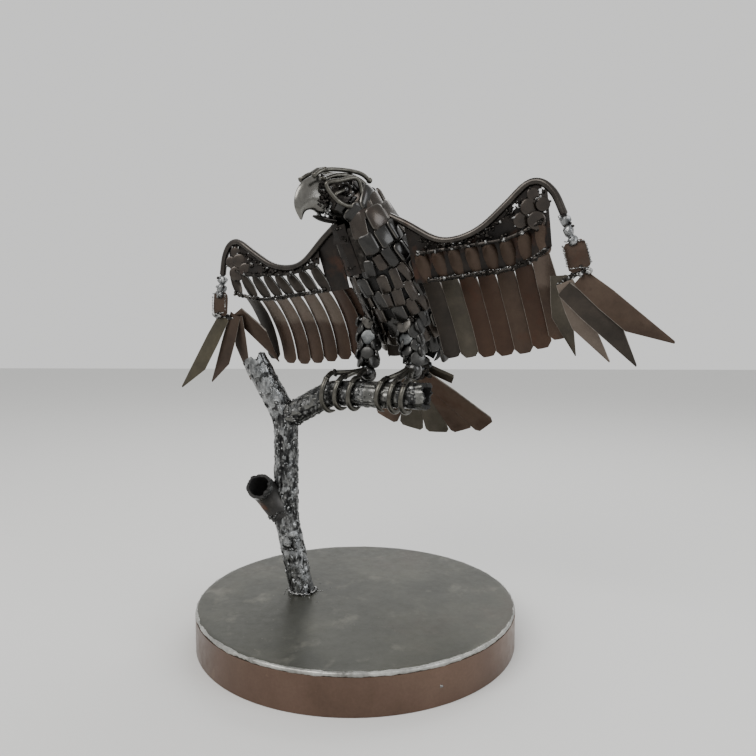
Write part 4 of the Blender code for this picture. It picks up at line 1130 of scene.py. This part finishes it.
def makePrimaries(name, wing):
    side = wing["side"]
    for k, (out, up, tipOut, tipUp, back, outside) in enumerate(wing["primaries"]):
        layer = 1.8 * k + 2.0
        root, tip = wingSpot(side, out, up, layer), wingSpot(side, tipOut, tipUp, layer + back)
        facing = looking(side, 4)
        tip += (tip - root).cross(facing).normalized() * outside * side * wingLook["width"] / 2
        root += (root - tip).normalized() * 8  # in under the finger plate's weld
        bm = bmesh.new()
        strip(bm, root, tip, facing, pointedWidths(wingLook["width"], outside * side, 0.62 if k < 2 else 0.5),
            wingLook["sheet"], 0, 0.5)
        piece = "%s_primary_%d" % (name, k + 1)
        finishPiece(piece, bm, wingRoot, [wing["primaryTints"][k], "edgeHighlight"])


def hungSheet(bm, wing, start, end, lower, finish, holes=()):  # thin sheet hung from the wing's rod
    columns, rows = round((end - start) / 2.2), 14
    made = bmesh.new()
    grid = bmesh.ops.create_grid(made, x_segments=columns, y_segments=rows, size=1)["verts"]
    for index, vert in enumerate(grid):
        row, column = divmod(index, columns + 1)
        out = start + (end - start) * column / columns
        top, (low, setback) = rodHeight(out) - 1.0, lower(out)
        share = row / rows
        vert.co = wingSpot(wing["side"], out, top + (low - top) * share, 0.6 + setback * share)
        vert.co.y += 0.5 * noise.noise(vert.co * 0.12)
    gone = [face for face in made.faces
        if any((face.calc_center_median() - wingSpot(wing["side"], *spot)).length < 2.6 for spot in holes)]
    bmesh.ops.delete(made, geom=gone, context="FACES")
    bmesh.ops.solidify(made, geom=made.faces[:], thickness=1.0)
    addShape(bm, made, finish)


def makeCoverts(name, wing):
    side = wing["side"]
    bm = bmesh.new()
    # on the left the dark sheet runs down behind the lozenges so the gaps between them read black: partly the
    # real filler sheet, partly painted shade
    if side > 0:
        hungSheet(bm, wing, 40, 161, lambda out: (hangLine(wing, out)[0] + 4, hangLine(wing, out)[1] - 1.5),
            5, ((134.7, -6, 0.9), (156, 3, 0.8), (157.5, -14.7, 3)))
    else:
        hungSheet(bm, wing, 27, 50, lambda out: (hangLine(wing, out)[0] + 3, hangLine(wing, out)[1] - 1.5), 5)
        hungSheet(bm, wing, 48, 160, lambda out: (min(hangLine(wing, out)[0] + 27.5, rodHeight(out) - 5.6),
            -2.2), 5)
    above, below, under = [], [], []
    for k in range(8):
        out = wingLook["outermost"] + 5.6 - 14.6 * (7 - k)
        line, setback = hangLine(wing, out)
        edge = min(rodHeight(out - 6), rodHeight(out + 5)) - 5.1
        low = line + 3.4
        top = min(low + 24.5, edge - 0.5)
        above.append(wingSpot(side, out - 1, top - 0.6, -2.6))
        below.append(wingSpot(side, out + 1, low + 1.2, setback - 5.0))
        under.append(wingSpot(side, out - 1, edge + 0.6, -1.0))
        if side > 0:  # barrel lozenges on a dark backing
            strip(bm, wingSpot(side, out - 1, top - 1.0, -3.0),
                wingSpot(side, out + 1, low + 1.0, setback - 3.5), looking(side, 14),
                [(at, half, half) for at, half in wingLook["lozenge"]], 2.4, 2.0, 2.2, 0, 0, 14, 8)
        else:  # slanted crescents with open gaps
            strip(bm, wingSpot(side, out + 3.0, top - 1.0, -3.0),
                wingSpot(side, out - 2.5, low + 1.0, setback - 3.5), looking(side, 6),
                [(at, half - 8 * at * (1 - at), half + 8 * at * (1 - at)) for at, half in wingLook["crescent"]],
                2.2, 2.0, 1.6, 0, 3, 14, 6)
        for spot in (above[-1], below[-1]):  # narrow weld stubs at both ends
            for n in range(4):
                weld(bm, spot + Vector((about(1.2), between(-1, 0), about(1.4))), between(1.2, 2.0),
                    pick((2, 2, 3)))
    weldRow(bm, above, 1.9, 2.0, 2, 0.7)
    weldRow(bm, below, 2.0, 1.9, 2, 0.7)
    weldRow(bm, [spot + Vector((0, -1.3, 1.4)) for spot in below], 0.7, 1.1, 3, 0.8)
    weldRow(bm, under, 1.3, 2.0, 2, 0.8)
    for k in range(60):  # knots between the rod and the row
        out = between(50, 158)
        line, setback = hangLine(wing, out)
        low, high = min(line + 27, rodHeight(out) - 6), rodHeight(out) - 3
        weld(bm, wingSpot(side, out, between(low, high), -0.8), between(0.9, 2.2), pick((2, 2, 2, 3)))
    bentBar(bm, below, 4, 3, 1.5, 8, finish=2)
    bentBar(bm, above, 4, 3, 1.6, 8, finish=2)
    for out, up, size in wingLook["discs"]:
        place = lookAlong(wingSpot(side, out, up, -1.5), (0.5, -1, -0.1), (0, 0, 1))
        stamp(bm, coins[0], place @ Matrix.Scale(size / 7.75, 4), 4, 1)
        for n in range(3):
            angle = between(0, tau)
            weld(bm, place @ onCircle(angle, size, 0.8), 1.3, pick((2, 3)))
    finishPiece(name + "_coverts", bm, wingRoot, [wing["covertTint"], "featherDark", "weldDark", "weldBright",
        "scaleBrown", "rustSheet"], 42)


def makeWrist(name, wing):
    side, lift = wing["side"], wing["lift"]
    bm = bmesh.new()
    for out, up, behind, size in ((173, -24.5, 0, 5.2), (175, -32.5, -0.5, 5.4),
            (177, -40.5 + lift / 2, -0.5, 4.8)):
        weld(bm, wingSpot(side, out, up, behind), size, 0, flat=0.95)
        for n in range(5):
            spot = wingSpot(side, out + about(4), up + about(4), behind - between(1, 4))
            weld(bm, spot, between(1.2, 2.2), pick((0, 0, 1)))
    root, tip = wingSpot(side, 177, lift - 41, -1.2), wingSpot(side, 181, lift - 61.5, -1.2)
    strip(bm, root, tip, looking(side, 0), wingLook["plate"], 3.2, 0, 0.9, 2, 3, 16, 8)
    for ends in wingLook["frame"]:  # the bright frame round the plate
        weldRow(bm, [wingSpot(side, 178.6 + x, lift + z, -2.6) for x, z in ends], 0.85, 1.2, 3, 0.3)
    for n in range(8):  # the weld below it, over the feathers' roots
        weld(bm, wingSpot(side, 184 + between(-5, 6), lift - 65 + about(3), -1.5), between(1.4, 2.6),
            pick((3, 1)))
    inner = wing["primaries"][3]
    arm = [wingSpot(side, 186, lift - 64, 2), wingSpot(side, (186 + inner[0]) / 2, lift - 67, 5),
        wingSpot(side, inner[0] - 1, inner[1] + 2, 8.5)]
    bentBar(bm, arm, 6, 2.5, 2.0, 10, finish=1)  # the bar that the feathers' roots are welded to
    weldRow(bm, arm, 2.6, 2.4, 1, 0.5)
    weldRow(bm, [spot + Vector((0, -2, -1)) for spot in arm], 1.4, 2.6, 3, 0.8)
    finishPiece(name + "_wrist", bm, wingRoot, ["barkBright", "weldDark", "featherBrown", "weldBright"],
        50)


def makeWingRod(name, wing):
    bm = bmesh.new()
    bentBar(bm, [wingSpot(wing["side"], out, up) for out, up in wingLook["rod"]], 8, 2.4, 3.2, 20)
    finishPiece(name + "_wing_rod", bm, wingRoot, ["rodSteel"], 60)


for name in ("left", "right"):
    for makePart in (makeWingRod, makeCoverts, makeSecondaries, makePrimaries, makeWrist):
        makePart(name, wingLook[name])
print("wings done")


# Tail, belly and throat

tailLook = {
    "slope": 57, "lap": 2.1, "thick": 1.5,
    "strips": ((-36, 90, "tailBrown"), (-17, 86, "tailOlive"), (3, 84, "tailOlive"), (23, 83, "tailBrown"),
        (41, 89, "tailBrown")),
    "widths": ((0, 6.5, 6.5), (0.45, 10.8, 10.8), (0.95, 13.5, 13.5), (1, 10.4, 10.4)),
}
throatLook = {
    "bars": (((-13, -31, 146), (-6, -13, 108), (0.2, -1, 0.3)),
        ((-21, -29, 147), (-14, -11.5, 107), (-0.35, -1, 0.3))),
    "seams": (((-12, -32, 143), (-17, -31, 143)), ((-8, -16, 111), (-15, -14, 110)),
        ((-9, -27, 134), (-12, -27, 136))),
}


def makeTail():
    slope = radians(tailLook["slope"])
    down, facing = Vector((0, cos(slope), -sin(slope))), Vector((0, -sin(slope), -cos(slope)))
    for k, (spread, length, tint) in enumerate(tailLook["strips"]):
        angle = radians(spread)
        root = Vector((7 * sin(angle), 92, 15)) - facing * tailLook["lap"] * (4 - k)
        tip = root + (down * cos(angle) + Vector((1, 0, 0)) * sin(angle)) * length
        bm = bmesh.new()
        strip(bm, root, tip, facing, tailLook["widths"], tailLook["thick"], 0, 0.3)
        finishPiece("tail_feather_%d" % (k + 1), bm, bird, [tint, "edgeHighlight"])
    bm = bmesh.new()  # the weld that holds the tail to the body
    stamp(bm, lumps[2], Matrix.Translation((4, 91, 20)) @ Matrix.Diagonal((12.5, 9.0, 12.5, 1)), 0)
    for k in range(44):
        spot = Vector((4 + about(12), 91 + about(7), 18 + between(-10, 11)))
        weld(bm, spot, between(2.2, 4.4), pick((0, 0, 0, 1)))
    finishPiece("tail_root_weld", bm, bird, ["weldDark", "barkSteel"], 60, ())
    bm = bmesh.new()
    strip(bm, (9, 96.5, 20), (36, 104, 8), (0, 1, 0.6), plainWidths(8), 3.2, 0, 0, 0, 0, 12, 6)
    finishPiece("tail_bar", bm, bird, ["featherGrey"])
    bm = bmesh.new()
    strip(bm, (-1, 43.5, 58), (-1, 50, 33), (0.2, -1, 0), bluntWidths(14), 1.5, 0, 0.4)
    finishPiece("belly_feather", bm, bird, ["featherDark", "edgeHighlight"])
    bm = bmesh.new()
    for root, tip, facing in throatLook["bars"]:
        strip(bm, root, tip, facing, plainWidths(8), 3.0, 0, 0.3, 0, 0, 16, 6)
    strip(bm, (-4, -28, 144), (2.5, -13.5, 110), (0.3, -1, 0.3), plainWidths(7), 2.6, 0, 0.3, 1, 1, 16, 6)
    strip(bm, (-7, -26.2, 136), (-23, -24.3, 136), (0, -1, 0.3), plainWidths(5), 3.4, 0, 0, 0, 0, 8, 4)
    for line in throatLook["seams"]:
        weldRow(bm, line, 1.7, 1.6, 1)
    finishPiece("throat_bars", bm, bird, ["rustSheet", "weldDark"])


makeTail()
print("tail done")


# Head, with -Y ahead

headLook = {
    "skull": (13.6, 21.8, 17.6), "back": -4.5, "beakStart": -23.5,
    "eye": ((28.5, 7), (15, 11.2), (2, 14.2), (-3, 8), (-3.5, -3.5), (8, -9.6), (20, -5)), "ring": 1.9,
    "beakLine": ((0, -23.6, 0.8), (0, -31, 0.5), (0, -38, -2.2), (0, -43, -7.2), (0, -45.6, -13.6),
        (0, -44.6, -21.4)),
    "beakSizes": ((7, 16.2, 0), (6.6, 15.5, 7), (5.6, 12.6, 28), (4.2, 8.9, 52), (2.7, 4.9, 74),
        (0.7, 0.9, 84)),
    "jawLine": ((0, -13.5, -20.4), (0, -20, -19.9), (0, -27, -18.8), (0, -33, -17.6)),
    "jawSizes": ((5.5, 2.0, 0), (5.0, 2.2, 0), (4.2, 2.0, 0), (1.5, 0.9, 0)),
    "cheeks": ((100, -22, 10), (66, -34, -12), (128, -8, 6), (142, 22, -8), (112, 30, 12), (150, -30, 0),
        (112, -48, 8)),
    "brow": ((11.5, -38.0, 13.5), (11.0, -29.0, 18.8), (10.5, -10, 20.9), (9.0, 8, 20.2), (8.0, 17.5, 15.5)),
}
cheekPlates = [plateShape(9, 13, 1.6, 2.6, 0.5), plateShape(11, 10, 1.6, 3.0, 0.7)]
neckPlates = [plateShape(19, 24, 1.8, 5.0, 2.4), plateShape(17, 18, 1.8, 4.5, 1.8)]


def skullSpot(across, up):  # a spot on the skull by two angles, and the way out
    a, b = radians(across), radians(up)
    way = Vector((sin(a) * cos(b), -cos(a) * cos(b), sin(b)))
    wide, deep, tall = headLook["skull"]
    out = Vector((way.x / wide, way.y / deep, way.z / tall)).normalized()
    return Vector((way.x * wide, way.y * deep + headLook["back"], way.z * tall)), out


def makeSkull():
    bm = bmesh.new()
    bmesh.ops.create_uvsphere(bm, u_segments=48, v_segments=32, radius=1.0)
    bmesh.ops.scale(bm, verts=bm.verts[:], vec=headLook["skull"])
    bmesh.ops.translate(bm, verts=bm.verts[:], vec=(0, headLook["back"], 0))
    bmesh.ops.bisect_plane(bm, geom=bm.verts[:] + bm.edges[:] + bm.faces[:],
        plane_co=(0, headLook["beakStart"], 0), plane_no=(0, -1, 0), clear_outer=True)
    bmesh.ops.holes_fill(bm, edges=[e for e in bm.edges if e.is_boundary], sides=0)
    for vert in bm.verts:
        vert.co.x *= 1 + 0.05 * noise.noise(vert.co * 0.35)
        vert.co.z *= 1 + 0.04 * noise.noise(vert.co * 0.35 + Vector((9, 0, 0)))
    for x in (-6.5, -2.2, 2.2, 6.5):  # crown rods, side by side
        drop = abs(x) * 0.22
        bentBar(bm, [(x, -26, 13.5 - drop), (x, -14, 18.2 - drop), (x * 1.1, 2, 18.6 - drop),
            (x * 1.2, 14, 12.5 - drop), (x * 1.25, 19, 6)], 5, 1.6, 2.0, 12, 1.8, 1)
    for side in (1, -1):
        for across, up, turn in headLook["cheeks"]:
            spot, out = skullSpot(side * across, up)
            stamp(bm, pick(cheekPlates), lookAlong(spot + out * 0.6, out, (0, 0.3, 1)) @ turned(turn, "Z"), 2)
    for side in (1, -1):  # wide plates behind and under the eye
        # the narrow rims of these plates take slot 4, a painted highlight
        stamp(bm, neckPlates[0], lookAlong((side * 15.2, 11, -2), (side, 0.35, 0.1), (0, 0.5, 1)), 2, 4)
        stamp(bm, neckPlates[1], lookAlong((side * 14.2, -1, -14.5), (side, -0.1, -0.55), (0, 0.5, 1)), 2, 4)
        for k in range(26):  # dark lumps between the beak and the eye
            weld(bm, Vector((side * between(6.4, 8.2), between(-30.5, -23), between(-10, 11))),
                between(1.3, 2.4), 0, flat=0.7)
        for k in range(26):  # dark weld round the beak's root
            a = tau * k / 26
            weld(bm, Vector((7.6 * cos(a), -24.6, 2.5 + 14.0 * sin(a))), between(1.1, 2.0),
                pick((0, 0, 3)) if sin(a) > 0.3 else 0)
    for k in range(46):  # spatter between the rods and plates
        spot, out = skullSpot(about(150), between(-45, 50))
        weld(bm, spot + out * 0.4, between(0.7, 1.5), pick((0, 3, 3)), True)
    weldRow(bm, [(-8, -25, 13), (0, -25.4, 15), (8, -25, 13)], 1.5, 1.4, 3)
    for side in (1, -1):
        weldRow(bm, [(side * 11, -22, -8), (side * 8, -23.6, -15), (side * 3, -23.6, -17)], 1.4, 1.5, 3)
    finishPiece("head_shell", bm, head, ["weldDark", "toeSteel", "scaleDark", "weldBright", "scaleRimHighlight"],
        50)


def makeBeak():
    bm = bmesh.new()
    line, shape = smoothLine(headLook["beakLine"], 6), smoothLine(headLook["beakSizes"], 6)
    places, radii = [], []
    for point, (wide, deep, nod) in zip(line, shape):
        tip = radians(nod)
        turn = Matrix(((1, 0, 0), (0, -sin(tip), cos(tip)), (0, -cos(tip), -sin(tip)))).transposed()
        places.append(Matrix.Translation(point) @ turn.to_4x4())
        radii.append((wide, deep))
    rings, first, last = growTube(bm, places, radii, 36)
    for ring, place, radius in zip(rings, places, radii):  # a narrow ridge above, flatter below
        frameHere = place @ sizeOf(radius)
        back = frameHere.inverted()
        for vert in ring:
            local = back @ vert.co
            local.x *= 1 - 0.34 * max(0.0, local.y) ** 1.5
            vert.co = frameHere @ local
    finishPiece("beak", bm, head, ["beakSteel"], 60)
    bm = bmesh.new()
    jaw, widths = smoothLine(headLook["jawLine"], 5), smoothLine(headLook["jawSizes"], 5)
    growTube(bm, placesAlong(jaw), [(w.x, w.y) for w in widths], 24)
    finishPiece("lower_mandible", bm, head, ["weldDark"], 60)


def makeEye(name, side):
    bm = bmesh.new()
    corners = [(side * (17.2 - 0.006 * (ahead - 6) ** 2), -ahead, z) for ahead, z in headLook["eye"]]
    steps = 6
    line = smoothLine(corners * 3, steps)[len(corners) * steps:2 * len(corners) * steps]
    places = []
    out = Vector((side, 0, 0))
    for k, point in enumerate(line):
        way = (line[(k + 1) % len(line)] - line[k - 1]).normalized()
        across = way.cross(out).normalized()
        turn = Matrix((across.cross(way), across, way)).transposed().to_4x4()
        places.append(Matrix.Translation(point) @ turn)
    rings, first, last = growTube(bm, places, [headLook["ring"]] * len(line), 12, capped=False)
    bmesh.ops.bridge_loops(bm, edges=first + last)
    nut = bmesh.new()
    bmesh.ops.create_cone(nut, cap_ends=True, segments=6, radius1=5.2, radius2=5.2, depth=4.2)
    face = max(nut.faces, key=lambda f: f.calc_center_median().z)
    bmesh.ops.inset_region(nut, faces=[face], thickness=2.1)
    bmesh.ops.translate(nut, verts=face.verts[:], vec=(0, 0, -2.6))
    softRim(nut, 0.35)
    place = lookAlong((side * 16.4, -11, 4), (side, -0.15, 0), (0, 0, 1))
    stamp(bm, asShape(nut, "eyeNut"), place, 1)
    smoothBall(bm, place @ Vector((0, 0, 0.2)), 2.2, 3)
    roundBar(bm, [(side * 16.2, -11, 4), (side * 15.8, -20, 0), (side * 15.6, -20.5, -1.5)], 1.6, 10)
    for n in range(9):
        a = between(0, tau)
        spot = Vector((side * 15.6, -11 + 6.5 * cos(a), 4 + 5.5 * sin(a)))
        weld(bm, spot, between(0.8, 1.5), pick((1, 2, 2)))
    finishPiece(name, bm, head, ["toeSteel", "weldDark", "weldBright", "ballSteel"], 50)


def makeBrows():
    bm = bmesh.new()
    for side in (1, -1):
        line = smoothLine([(side * x, y, z) for x, y, z in headLook["brow"]], 6)
        roundBar(bm, evenLine(line, 1.8), 1.9, 14)
        place = lookAlong(line[0] + Vector((0, -0.8, -0.6)), (0, -1, -0.7), (0, 0, 1))
        stamp(bm, coins[1], place @ Matrix.Scale(0.36, 4), 0)
        smoothBall(bm, line[-1], 2.7, 0)
    roundBar(bm, [(12.5, -28.0, 19.2), (0, -28.5, 20.6), (-12.5, -28.0, 19.2)], 2.0)
    roundBar(bm, [(10.5, -1.0, 20.6), (0, -1, 20.3), (-10.5, -1.0, 20.6)], 1.8)
    finishPiece("brow_rods", bm, head, ["toeSteel"], 60)


makeSkull()
makeBeak()
makeEye("left_eye", 1)
makeEye("right_eye", -1)
makeBrows()
print("head done")

makeCamera()
makeStudio()
print("camera and light done")
